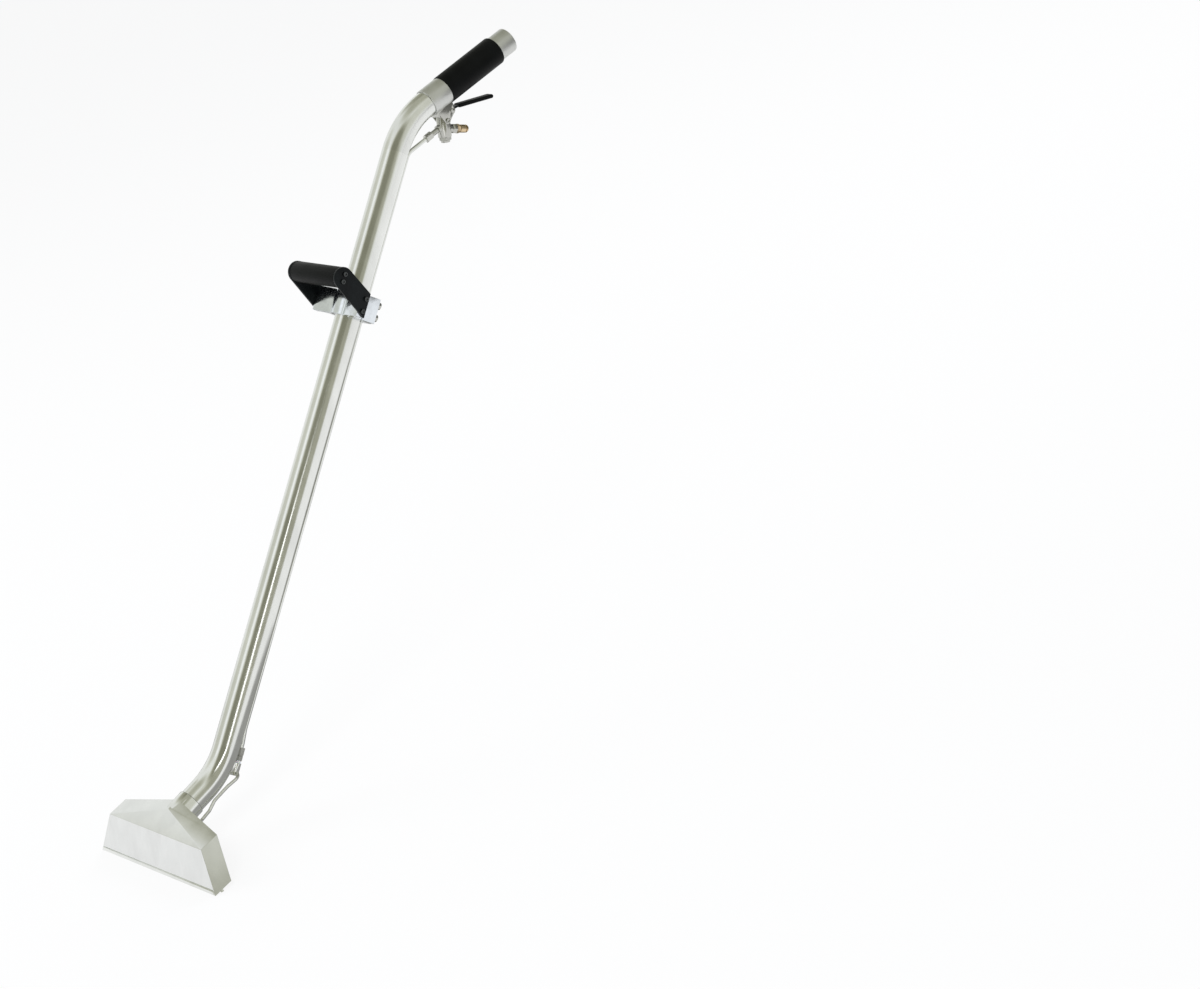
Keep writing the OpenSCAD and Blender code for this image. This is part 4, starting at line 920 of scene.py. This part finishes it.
class WAND_OT_tubes(Step):
    """Draw the vacuum tube: lower bend, lance, upper bend, collar and handle tube"""

    bl_idname = "wand.tubes"
    bl_label = "Vacuum tube"

    def execute(self, context):
        scene = context.scene
        places, tube = Places(scene), scene.wand_tube
        r_out, r_in = tube.outer / 2, tube.outer / 2 - tube.wall
        way, low_corner, high_corner = up_along(tube.lance_lean), places.lance.translation, places.handle.translation
        overlap = 1.001
        start, end = places.lower @ Vector((0, 0, -tube.slip)), places.handle @ Vector((0, 0, places.join))
        for node, corners, finish_name in (
            ("lower_bend", (start, low_corner, low_corner + way * places.lower_cut * overlap), "lower_steel"),
            ("upper_bend", (high_corner - way * places.upper_cut * overlap, high_corner, end), "handle_steel"),
        ):
            shape = swept_tube(route(corners, tube.bend, 3 * MM), r_in, r_out)
            form(node + "_drawn", shape, UNMOVED, finish_name, "wand", STEEL, node)
        low, high, steps = places.lower_cut, tube.lance - places.upper_cut, 24
        rise = [(r_out, low + (high - low) * k / steps) for k in range(steps + 1)]
        shape = turned(rise + [(r_in, z) for _, z in reversed(rise)])
        form("lance_drawn", shape, places.lance, "lance_steel", "wand", STEEL, "lance_tube")
        collar = (places.sleeve_in, places.sleeve_out, tube.collar_start, places.grip_start)
        cuff = (r_in, r_out, places.join, tube.handle)
        for name, loop, node in (("collar_turned", collar, "handle_collar"), ("cuff_turned", cuff, "handle_tube")):
            form(name, turned(eased(*loop, 0.5 * MM)), places.handle, "satin_steel", "wand", STEEL, node)
        return {"FINISHED"}


class WAND_OT_grip(Step):
    """Mould the black grip"""

    bl_idname = "wand.grip"
    bl_label = "Grip"

    def execute(self, context):
        scene = context.scene
        places, tube = Places(scene), scene.wand_tube
        low, high = places.grip_start + RUN_GAP, places.grip_start + tube.grip
        shape = turned(eased(tube.outer / 2 + RUN_GAP, tube.grip_outer / 2, low, high, 1.6 * MM, 6, 0.2 * MM))
        form("grip_moulded", shape, places.handle, "vinyl", "wand", VINYL, "grip_sleeve")
        return {"FINISHED"}


# Outlines of radius and height, in millimetres above a root of their own
CAP_ROOT = 40.6 * MM
CAP_END = ((0.2, 0), (6.8, 0), (6.8, 2.6), (6.5, 3.1), (6.0, 3.4), (1.8, 3.4), (1.2, 2.8), (0.2, 2.6))
PLUG_ROOT = 20 * MM
PLUG_END = (
    (2.5, 5), (4.5, 5), (4.5, 7), (5.65, 7), (5.95, 7.3), (5.95, 15.7), (5.65, 16), (4.5, 16.3),
    (4.5, 17.7), (5.65, 18), (5.95, 18.4), (4.7, 20.6), (4.2, 21), (2.8, 21), (2.5, 20.7),
)


def above(root, outline):
    return [(r * MM, root + z * MM) for r, z in outline]


class WAND_OT_valve(Step):
    """Machine the valve, its bracket, nut, caps, plug and spring"""

    bl_idname = "wand.valve"
    bl_label = "Valve"

    def execute(self, context):
        scene = context.scene
        places, pipes = Places(scene), scene.wand_pipe
        for node, edge in (("valve_bracket", 0.25 * MM), ("valve_body", 0.25 * MM), ("inlet_adapter", 0.2 * MM)):
            dressed(node, "plated", "wand", PLATED, edge)
        across, stem_radius = 11 * MM * math.cos(math.pi / 6), 4.3 * MM / 2
        nut = hexed(across, 2.8 * MM, 5 * MM, stem_radius, (True, False))
        form("packing_nut_cut", nut, places.valve, "brass", "wand", BRASS, "packing_nut")
        cap = hexed(17 * MM, 36 * MM, 40.8 * MM, BORE)
        form("cap_hex", cap, places.valve, "plated", "wand", PLATED, "bottom_cap")
        form("cap_end", turned(above(CAP_ROOT, CAP_END), FINE), places.valve, "plated", "wand", PLATED)
        plug = hexed(11.9 * MM, PLUG_ROOT, PLUG_ROOT + 6 * MM, BORE)
        form("plug_hex", plug, places.inlet, "plug_brass", "wand", BRASS, "quick_plug")
        form("plug_turned", turned(above(PLUG_ROOT, PLUG_END), FINE), places.inlet, "plug_brass", "wand", BRASS)
        outlet = places.handle @ Matrix.Translation((0, OUTLET_BELOW, 0))
        nut = hexed(pipes.nut, OUTLET_FACE, OUTLET_FACE + pipes.nut_length, pipes.line / 2 + RUN_GAP)
        form("outlet_nut_cut", nut, outlet, "nut_steel", "wand", PLATED, "outlet_nut")
        for node, finish_name in (
            ("outlet_stub", "plated"), ("valve_stem", "plated"), ("stem_seal", "rubber"), ("valve_seat", "tape"),
        ):
            paint(frame["nodes"][node].data, finish_name)
        wind_spring(places)
        dressed("lever_pin", "plated", "wand", PLATED, 0.3 * MM)
        return {"FINISHED"}


def wind_spring(places):
    """The valve's spring, wound round the valve's axis towards the bottom cap. The stem's stroke is read, but the
    spring is not shortened by it.
    """
    wire, coil, turns, per_turn = 0.9 * MM, 4.1 * MM, 5, 24
    first, last = 25.65 * MM, 33.05 * MM
    count = turns * per_turn
    wind = []
    for k in range(count + 1):
        a = math.tau * k / per_turn
        wind.append(places.valve @ Vector((coil * math.cos(a), coil * math.sin(a), first + (last - first) * k / count)))
    spring = pipe("valve_spring_wound", wind, wire, "plated", "wand", PLATED, "valve_spring")
    joints = frame["record"]["behaviour"]["joints"]
    stroke = max(next(joint for joint in joints if joint["name"] == "stem_press")["range_m"])
    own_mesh(spring)


class WAND_OT_trigger(Step):
    """Form the trigger lever and its dipped sleeve"""

    bl_idname = "wand.trigger"
    bl_label = "Trigger"

    def execute(self, context):
        dressed("trigger_lever", "paint", "trigger", "black_paint", 0.5 * MM, 3)
        places, grip = Places(context.scene), context.scene.wand_grip
        knee = moved(places.handle, 0, grip.knee_below, grip.knee_along, Matrix.Rotation(-grip.lever_slope, 4, "X"))
        wide, thick, reach = grip.lever_width / 2, grip.lever_thickness / 2, grip.lever_length
        angles = [math.radians(a) for a in range(0, 86, 12)]
        mouth = [(3 * MM, 0.9 * MM), (3.3 * MM, 0.4 * MM), (4 * MM, 0)]
        tip = [(reach + thick * math.sin(a), thick * (1 - math.cos(a))) for a in angles]
        taper, corner = 0.75, 1.9 * MM
        rings = []
        for z, inset in (*mouth, *tip, (reach + thick, thick * 0.98)):
            outline = rounded_box(wide - inset * taper, thick - inset, min(corner, thick - inset))
            rings.append([(x, y, z) for x, y in outline])
        points, faces = joined(rings, False)
        n = len(rings[0])
        faces += [tuple(range(n)), tuple(range(len(points) - n, len(points)))]
        form("lever_sleeve_dipped", (points, faces), knee, "dipped", "trigger", VINYL, "lever_sleeve", smooth=50)
        return {"FINISHED"}


class WAND_OT_pipes(Step):
    """Bend the solution line and the feeds, and cut their fittings"""

    bl_idname = "wand.pipes"
    bl_label = "Pipework"

    def execute(self, context):
        scene = context.scene
        places, pipes, tube, head = Places(scene), scene.wand_pipe, scene.wand_tube, scene.wand_head
        line_n = tube.outer / 2 + pipes.line / 2 + 0.15 * MM
        nut_n = tube.outer / 2 + pipes.nut / 2 + 0.4 * MM
        adapter_s = pipes.boss + 4 * MM
        nut_s = adapter_s + 7.4 * MM
        top = nut_s + pipes.nut_length
        turn = tube.handle_lean - tube.lance_lean
        leave = (line_n - OUTLET_BELOW * math.cos(turn)) / math.sin(turn)
        bar_y, bar_up = head.plate + head.bar_gap + head.bar / 2, head.bar_height + head.bar / 2 + 2 * MM

        def on_lance(x, n, s):
            return places.lance @ Vector((x, n, s))

        def on_lower(x, n, s):
            return places.lower @ Vector((x * MM, n * MM, s * MM))

        def in_boss(x, s):
            return on_lance(x * MM, nut_n, s * MM)

        def into_bar(x, behind):
            return places.face @ Vector((x * MM, bar_y + behind, bar_up))

        line = (
            on_lance(0, nut_n, top - pipes.nut_length / 2), on_lance(0, nut_n, top + 5 * MM),
            on_lance(0, line_n, top + 27 * MM), places.handle @ Vector((0, OUTLET_BELOW, leave)),
            places.handle @ Vector((0, OUTLET_BELOW, OUTLET_FACE + pipes.nut_length - 5.2 * MM)),
        )
        left = (
            in_boss(1, 5), in_boss(17, 3), on_lower(18, 15.5, 50), on_lower(18, 15.5, 22), on_lower(21, 19, 6),
            on_lower(26, 17, -12), into_bar(38, 14 * MM), into_bar(38, head.bar / 2 - 3 * MM),
        )
        right = (
            in_boss(-1, 5), in_boss(-22, 1), on_lower(-29, 30, 56), on_lower(-22, 23, 36), on_lower(-22, 21, 2),
            on_lower(-36, 15, -16), into_bar(-50, 14 * MM), into_bar(-50, head.bar / 2 - 3 * MM),
        )
        for node, corners, radius, step, diameter, finish_name in (
            ("solution_line", line, pipes.line_bend, 1 * MM, pipes.line, "lance_steel"),
            ("feed_tube_left", left, pipes.feed_bend, 0.6 * MM, pipes.feed, "bar_steel"),
            ("feed_tube_right", right, pipes.feed_bend, 0.6 * MM, pipes.feed, "bar_steel"),
        ):
            pipe(node + "_bent", route(corners, radius, step), diameter, finish_name, "wand", STEEL, node)
        at = moved(places.lance, 0, nut_n, 0)
        nut = hexed(pipes.nut, nut_s, top, pipes.line / 2 + RUN_GAP)
        form("line_nut_cut", nut, at, "nut_steel", "wand", PLATED, "line_nut")
        adapter = hexed(pipes.nut, adapter_s, adapter_s + 7 * MM, BORE)
        form("line_adapter_cut", adapter, at, "nut_steel", "wand", PLATED, "line_adapter")
        low, high, outer = adapter_s - 10 * MM, nut_s + 1 * MM, pipes.thread / 2
        thread = turned([(BORE, low), (outer, low), (outer, high), (BORE, high)], FINE)
        form("line_thread", thread, at, "plated", "wand", PLATED)
        dressed("feed_boss", "lower_steel", "wand", STEEL, 0.5 * MM, 3)
        tape = taped(outer + RUN_GAP, 6.0 * MM, pipes.boss, adapter_s, 11)
        form("line_tape_wound", tape, at, "tape", "wand", TAPE, "line_tape", smooth=60)
        return {"FINISHED"}


class WAND_OT_manifold(Step):
    """Finish the manifold bars, brackets and plugs"""

    bl_idname = "wand.manifold"
    bl_label = "Manifold"

    def execute(self, context):
        for node in ("manifold_left", "manifold_right"):
            dressed(node, "bar_steel", "wand", STEEL, 0.5 * MM, 3)
        dressed("manifold_plugs", "plated", "wand", STEEL, 0.3 * MM)
        dressed("manifold_brackets", "plate_steel", "wand", STEEL, 0.3 * MM)
        return {"FINISHED"}


class WAND_OT_jets(Step):
    """Turn the four brass jets and wind their tape"""

    bl_idname = "wand.jets"
    bl_label = "Jets"

    def execute(self, context):
        scene = context.scene
        places, head, pipes = Places(scene), scene.wand_head, scene.wand_pipe
        bar_y = head.plate + head.bar_gap + head.bar / 2
        frames = [
            moved(places.face, side * x, bar_y, head.bar_height)
            for x in (head.nozzle_inner, head.nozzle_outer) for side in (-1, 1)
        ]
        tip_frames = [m @ Matrix.Rotation(math.pi / 6, 4, "Z") for m in frames]
        body_length, whole_length, bore = 5.5 * MM, 12 * MM, 2 * MM
        top, low, tip = -head.tape, -head.tape - body_length, -head.tape - whole_length
        body = hexed(head.nozzle, low, top, bore)
        set_out("jet_bodies", body, frames, "brass", "wand", BRASS, "nozzle_bodies")
        end = hexed(head.nozzle - 0.6 * MM, tip + 1 * MM, low, bore, (True, False))
        set_out("jet_tips", end, tip_frames, "brass", "wand", BRASS, "nozzle_tips")
        set_out("jet_orifices", orifice_shape(tip), frames, "brass", "wand", BRASS)
        tape = taped(pipes.thread / 2 + RUN_GAP, 5.15 * MM, top, 0, 5, 36)
        set_out("jet_tapes", tape, frames, "tape", "wand", TAPE, "nozzle_tapes")
        return {"FINISHED"}


class WAND_OT_screws(Step):
    """Set out the socket head screws"""

    bl_idname = "wand.screws"
    bl_label = "Screws"

    def execute(self, context):
        scene = context.scene
        places, head, grip, tube = Places(scene), scene.wand_head, scene.wand_grip, scene.wand_tube
        sides = ((1, TO_PLUS_X), (-1, TO_MINUS_X))
        behind, under = head.plate + 2 * MM, head.bar_height - 6 * MM
        middle = places.handle.inverted() @ (places.valve @ Vector((0, 0, 12 * MM)))
        out, arm_y = grip.width / 2, -tube.outer / 2 - 1 * MM
        line, groove, cover, sunk = 6.35 * MM, (6.35 + 0.6) * MM, 3 * MM, 6 * MM
        rear = tube.outer / 2 + line / 2 + 0.15 * MM + groove / 2 + cover - sunk
        at_manifold = [
            moved(places.face, side * x, behind, under, TO_PLUS_Y) for x in (52 * MM, 96 * MM) for side in (-1, 1)
        ]
        at_bracket = [moved(places.handle, side * 12.1 * MM, middle.y, middle.z, turn) for side, turn in sides]
        at_arms = [moved(places.clamp, side * out, arm_y, s * MM, turn) for side, turn in sides for s in (-9, 9)]
        at_bar = [
            moved(places.clamp, side * out, -grip.bar_out, grip.bar_up + s * MM, turn)
            for side, turn in sides for s in (-5.5, 5.5)
        ]
        at_clamp = [moved(places.clamp, x * MM, rear, s * MM, TO_PLUS_Y) for x in (-27, 27) for s in (-9, 9)]
        small, bolt = 4 * MM, 6 * MM
        # The sizes of each screw are its thread, its length under the head, and its head
        for name, sizes, frames, finish_name, body, node in (
            ("manifold_socket_screws", (small, 3.5 * MM, 3.6 * MM), at_manifold, "plated", "wand", "manifold_screws"),
            ("bracket_socket_screws", (small, 5.4 * MM, 2.5 * MM), at_bracket, "plated", "wand", "bracket_screws"),
            ("arm_socket_screws", (small, 12 * MM, 2.5 * MM), at_arms, "blackened", "d_handle", "arm_screws"),
            ("bar_socket_screws", (small, 15 * MM, 2.5 * MM), at_bar, "blackened", "d_handle", "bar_screws"),
            ("clamp_socket_bolts", (bolt, rear + 9.5 * MM, 5.4 * MM), at_clamp, "plated", "d_handle", "clamp_bolts"),
        ):
            set_out(name, screw_shape(*sizes), frames, finish_name, body, PLATED, node)
        return {"FINISHED"}


def front_clamp_outline(front, step, half_x):
    """The front clamp seen along the lance: a swell over the tube, dished wings, and a saddle for the tube."""
    wing, crown, swell_end = 52, 14, 17  # whole millimetres from the middle
    dip, bow = 5.4 * MM, 1.6
    hub, split, seat = 34 * MM, 0.55 * MM, 19.1 * MM
    right = []
    for k in range(wing + 1):
        x = k * MM
        swell = math.sqrt(max(0.0, front * front - x * x)) if k < swell_end else 0
        dish = front - dip * (1 - min(1.0, max(0.0, k - crown) / (wing - crown))) ** bow
        right.append((x, -max(swell, dish) if k >= crown else -swell))
    right += [
        (half_x, -front), (half_x, step - front), (hub + 4 * MM, step - front), (hub, 16 * MM - front), (hub, -split),
    ]
    angles = [math.radians(1.7 + 4.415 * k) for k in range(41)]
    saddle = [(seat * math.cos(a), -seat * math.sin(a)) for a in angles]
    return right + saddle + [(-x, y) for x, y in reversed(right[1:])]


class WAND_OT_d_handle(Step):
    """Finish the clamp, the arms and the bar of the D-handle"""

    bl_idname = "wand.d_handle"
    bl_label = "D-handle"

    def execute(self, context):
        places, grip = Places(context.scene), context.scene.wand_grip
        front, step, half_h, half_x = 26.05 * MM, 12 * MM, 18 * MM, grip.width / 2 - grip.arm
        shape = drawn_out(front_clamp_outline(front, step, half_x), -half_h, half_h)
        made = form("clamp_front_cast", shape, places.clamp, "alloy", "d_handle", "clamp_alloy", "clamp_front")
        eased_edges(made, 0.7 * MM, 3, 50, 30)
        dressed("clamp_rear", "alloy", "d_handle", "clamp_alloy", 0.7 * MM, 3)
        root, bar = step - front, Vector((-grip.bar_out, grip.bar_up))
        ends = Vector((root, half_h)), Vector((root, -half_h))
        outline = [(root, half_h), *wrapped(*ends, bar, grip.bar_outer / 2 + 0.3 * MM), (root, -half_h)]
        turn = Matrix(((0, 0, 1, 0), (1, 0, 0, 0), (0, 1, 0, 0), (0, 0, 0, 1)))
        for side, name in ((-1, "arm_left"), (1, "arm_right")):
            low, high = sorted((side * half_x + side * RUN_GAP, side * grip.width / 2))
            made = form(
                name, drawn_out(outline, low, high), places.clamp @ turn, "paint", "d_handle", "black_paint",
                "handle_arms", smooth=20,
            )
            eased_edges(made, 1.0 * MM, 4, 40, 25)
        at = moved(places.clamp, 0, -grip.bar_out, grip.bar_up, TO_PLUS_X)
        end = half_x - RUN_GAP
        sleeve = turned(eased(grip.core / 2 + RUN_GAP, grip.bar_outer / 2, -end, end, 1.2 * MM, 5, 0.2 * MM))
        form("bar_sleeve_moulded", sleeve, at, "vinyl", "d_handle", VINYL, "bar_sleeve")
        paint(frame["nodes"]["bar_core"].data, "plated")
        return {"FINISHED"}


# Direction, where it starts and is full (as a cosine), and level of each soft area that the metal mirrors
SURROUNDINGS = (
    ((0, 0, -1), -1.0, -0.9, 0.93),
    ((-0.16, -0.76, 0.63), 0.972, 0.995, 1.2),
    ((-0.62, -0.62, 0.48), 0.87, 0.97, 0.74),
    ((0.66, -0.58, 0.48), 0.77, 0.93, 0.28),
    ((0.85, 0.25, 0.45), 0.86, 0.97, 0.75),
    ((0.05, 1.0, 0.12), 0.60, 0.94, 0.25),
    ((0.05, 0.25, 0.97), 0.78, 0.97, 0.46),
    ((-0.55, 0.33, 0.77), 0.90, 0.985, 0.40),
)
# Name, place, facing, size, level and share of blue of each grey card that the metal mirrors
CARDS = (
    ("side_card", (2.9, -0.1, 0.4), (-1, 0, 0), (2.0, 3.6), 0.4, 0.8),
    ("rear_card", (0, 2.8, 0.3), (0, -1, 0), (7.0, 3.0), 0.2, 0.95),
    ("low_card", (-0.62, 0.8, 0.004), (0, 0, 1), (1.2, 1.4), 0.25, 0.92),
    # The card behind the head lies where the wand shades the floor, and only the metal sees it: a painted shadow in the
    # metal's reflections of the floor there.
    ("head_card", (-0.03, 0.31, 0.003), (0, 0, 1), (0.66, 0.54), 0.36, 0.97),
    ("strip_card", (1.26, -0.38, 0.66), (-0.839, 0.42, -0.346), (0.19, 1.0), 2.6, 1.0),
)
# Name, place, size and power of each lamp
LAMPS = (
    ("key_lamp", (2.4, -2.2, 3.6), 1.8, 70),
    ("fill_lamp", (-2.8, -1.4, 2.6), 2.2, 40),
    ("rear_lamp", (-0.8, 3.4, 3.0), 2.0, 45),
)
LIT_POINT = Vector((0, 0.45, 0.45))
FLOOR_RADIUS, FLOOR_DROP = 14.0, 0.0006
EYE = (4.0053, -1.80623, 2.01879)
EYE_TURN = (
    (0.620016, -0.127886, 0.774096), (0.739403, 0.425235, -0.521976), (-0.262419, 0.896002, 0.358212),
)
LENS, FARTHEST = 102.047, 60


def stage_object(name, points, faces, at, material):
    """Adds a thing that isn't part of the wand."""
    made = bpy.data.objects.new(name, solid_mesh(name, points, faces, UNMOVED))
    made.matrix_world = at
    made.data.materials.append(material)
    bpy.context.scene.collection.objects.link(made)
    return made


class WAND_OT_stage(Step):
    """Set the floor, the lights, the grey cards and the camera"""

    bl_idname = "wand.stage"
    bl_label = "Stage"

    def execute(self, context):
        scene = context.scene
        rim = ring(64, FLOOR_RADIUS, 0)
        lowered = Matrix.Translation((0, 0, -FLOOR_DROP))
        stage_object("floor", rim, [tuple(range(len(rim)))], lowered, floor_paint(tuple(scene.wand_colours.floor)))
        for name, place, way, size, level, blue in CARDS:
            corners = [(x * size[0] / 2, y * size[1] / 2, 0) for x, y in ((-1, -1), (1, -1), (1, 1), (-1, 1))]
            grey = card_paint(name, size, (level, level, level * blue))
            card = stage_object(name, corners, [(0, 1, 2, 3)], facing(Vector(place), way), grey)
            card.visible_camera = card.visible_diffuse = card.visible_shadow = card.visible_transmission = False
        for name, place, size, watts in LAMPS:
            light = bpy.data.lights.new(name, "AREA")
            light.shape, light.size, light.energy = "DISK", size, watts
            lamp = bpy.data.objects.new(name, light)
            lamp.matrix_world = facing(Vector(place), Vector(place) - LIT_POINT)
            lamp.visible_glossy = False
            scene.collection.objects.link(lamp)
        scene.world = studio_air()
        camera = bpy.data.cameras.new("camera")
        camera.lens, camera.clip_end = LENS, FARTHEST
        eye = bpy.data.objects.new("camera", camera)
        eye.matrix_world = Matrix.Translation(EYE) @ Matrix(EYE_TURN).to_4x4()
        scene.collection.objects.link(eye)
        scene.camera = eye
        scene.view_settings.view_transform = "Standard"
        return {"FINISHED"}


def seen_directly(nodes):
    """1 for what the camera sees, straight or in gloss or glass, and 0 for light on the object."""
    path = nodes.add("ShaderNodeLightPath")
    seen = nodes.sum(path.outputs["Is Camera Ray"], path.outputs["Is Glossy Ray"], "MAXIMUM")
    return nodes.sum(seen, path.outputs["Is Transmission Ray"], "MAXIMUM")


def floor_paint(colour):
    """A pale floor that keeps the wand's shadow."""
    recipe = Recipe("floor_paint")
    recipe.fix(Base_Color=(*colour, 1), Roughness=0.9, Specular_IOR_Level=0.0)
    glow = recipe.add("ShaderNodeEmission", None, (1, 1, 1, 1))
    part = recipe.sum(seen_directly(recipe), 0.86, "MULTIPLY")
    return recipe.show(recipe.mixed(part, recipe.shader.outputs[0], glow.outputs[0]))


def card_paint(name, size, colour):
    """Grey that fades out towards the card's edges."""
    recipe = Recipe(name)
    recipe.tree.nodes.remove(recipe.shader)
    near_middle = recipe.ball(recipe.coordinates((1.6 / size[0], 1.6 / size[1], 1)))
    grey = recipe.add("ShaderNodeEmission", None, (*colour, 1))
    clear = recipe.add("ShaderNodeBsdfTransparent")
    return recipe.show(recipe.mixed(recipe.spread(near_middle, 0, 1, 0.02, 0.4), clear.outputs[0], grey.outputs[0]))


def studio_air():
    """White where it is seen, soft as a light, with the bright and dark areas of a studio for the metal to mirror."""
    world = bpy.data.worlds.new("studio")
    world.use_nodes = True
    air = Nodes(world.node_tree)
    path, way = air.add("ShaderNodeLightPath"), air.add("ShaderNodeTexCoord").outputs["Generated"]
    areas = []
    for direction, start, full, value in SURROUNDINGS:
        near = air.add("ShaderNodeVectorMath", {"operation": "DOT_PRODUCT"}, way, Vector(direction).normalized())
        areas.append(air.spread(near.outputs["Value"], 1.0, value, start, full, "SMOOTHSTEP"))
    level = areas[0]
    for area in areas[1:]:
        level = air.sum(level, area, "MULTIPLY")
    hue = air.tinted(level, (1, 1, 0.65, 1), (0.985, 1, 1, 1))
    lit = air.feed(air.tree.nodes["Background"], (0.93, 0.96, 1, 1), 0.6)
    mirrored = air.add("ShaderNodeBackground", None, hue, level)
    white = air.add("ShaderNodeBackground", None, (1, 1, 1, 1), 1)
    shown = lit.outputs[0]
    for ray, ground in (("Is Glossy Ray", mirrored), ("Is Transmission Ray", white), ("Is Camera Ray", white)):
        shown = air.mixed(path.outputs[ray], shown, ground.outputs[0])
    air.feed(air.tree.nodes["World Output"], Surface=shown)
    return world


class WAND_PT_sidebar(bpy.types.Panel):
    """Lists the steps and the sizes in the sidebar"""

    bl_label = "Extractor wand"
    bl_idname = "WAND_PT_sidebar"
    bl_space_type = "VIEW_3D"
    bl_region_type = "UI"
    bl_category = "Wand"

    def draw(self, context):
        for step in STEPS:
            self.layout.operator(step.bl_idname)
        for label, group in GROUPS.items():
            box = self.layout.box()
            for key in group.__annotations__:
                box.prop(getattr(context.scene, label), key)


STEPS = (
    WAND_OT_stage, WAND_OT_head, WAND_OT_welds, WAND_OT_tubes, WAND_OT_grip, WAND_OT_valve, WAND_OT_trigger,
    WAND_OT_pipes, WAND_OT_manifold, WAND_OT_jets, WAND_OT_screws, WAND_OT_d_handle,
)
GROUPS = {
    "wand_tube": WandTubeSizes, "wand_head": WandHeadSizes, "wand_pipe": WandPipeSizes, "wand_grip": WandHandleSizes,
    "wand_colours": WandFinishes,
}


def register():
    for group in (*GROUPS.values(), *STEPS, WAND_PT_sidebar):
        bpy.utils.register_class(group)
    for label, group in GROUPS.items():
        setattr(bpy.types.Scene, label, bpy.props.PointerProperty(type=group))


def unregister():
    for label in GROUPS:
        delattr(bpy.types.Scene, label)
    for group in reversed((*GROUPS.values(), *STEPS, WAND_PT_sidebar)):
        bpy.utils.unregister_class(group)


def main():
    register()
    for step in STEPS:
        area, name = step.bl_idname.split(".")
        getattr(getattr(bpy.ops, area), name)()


if __name__ == "__main__":
    main()
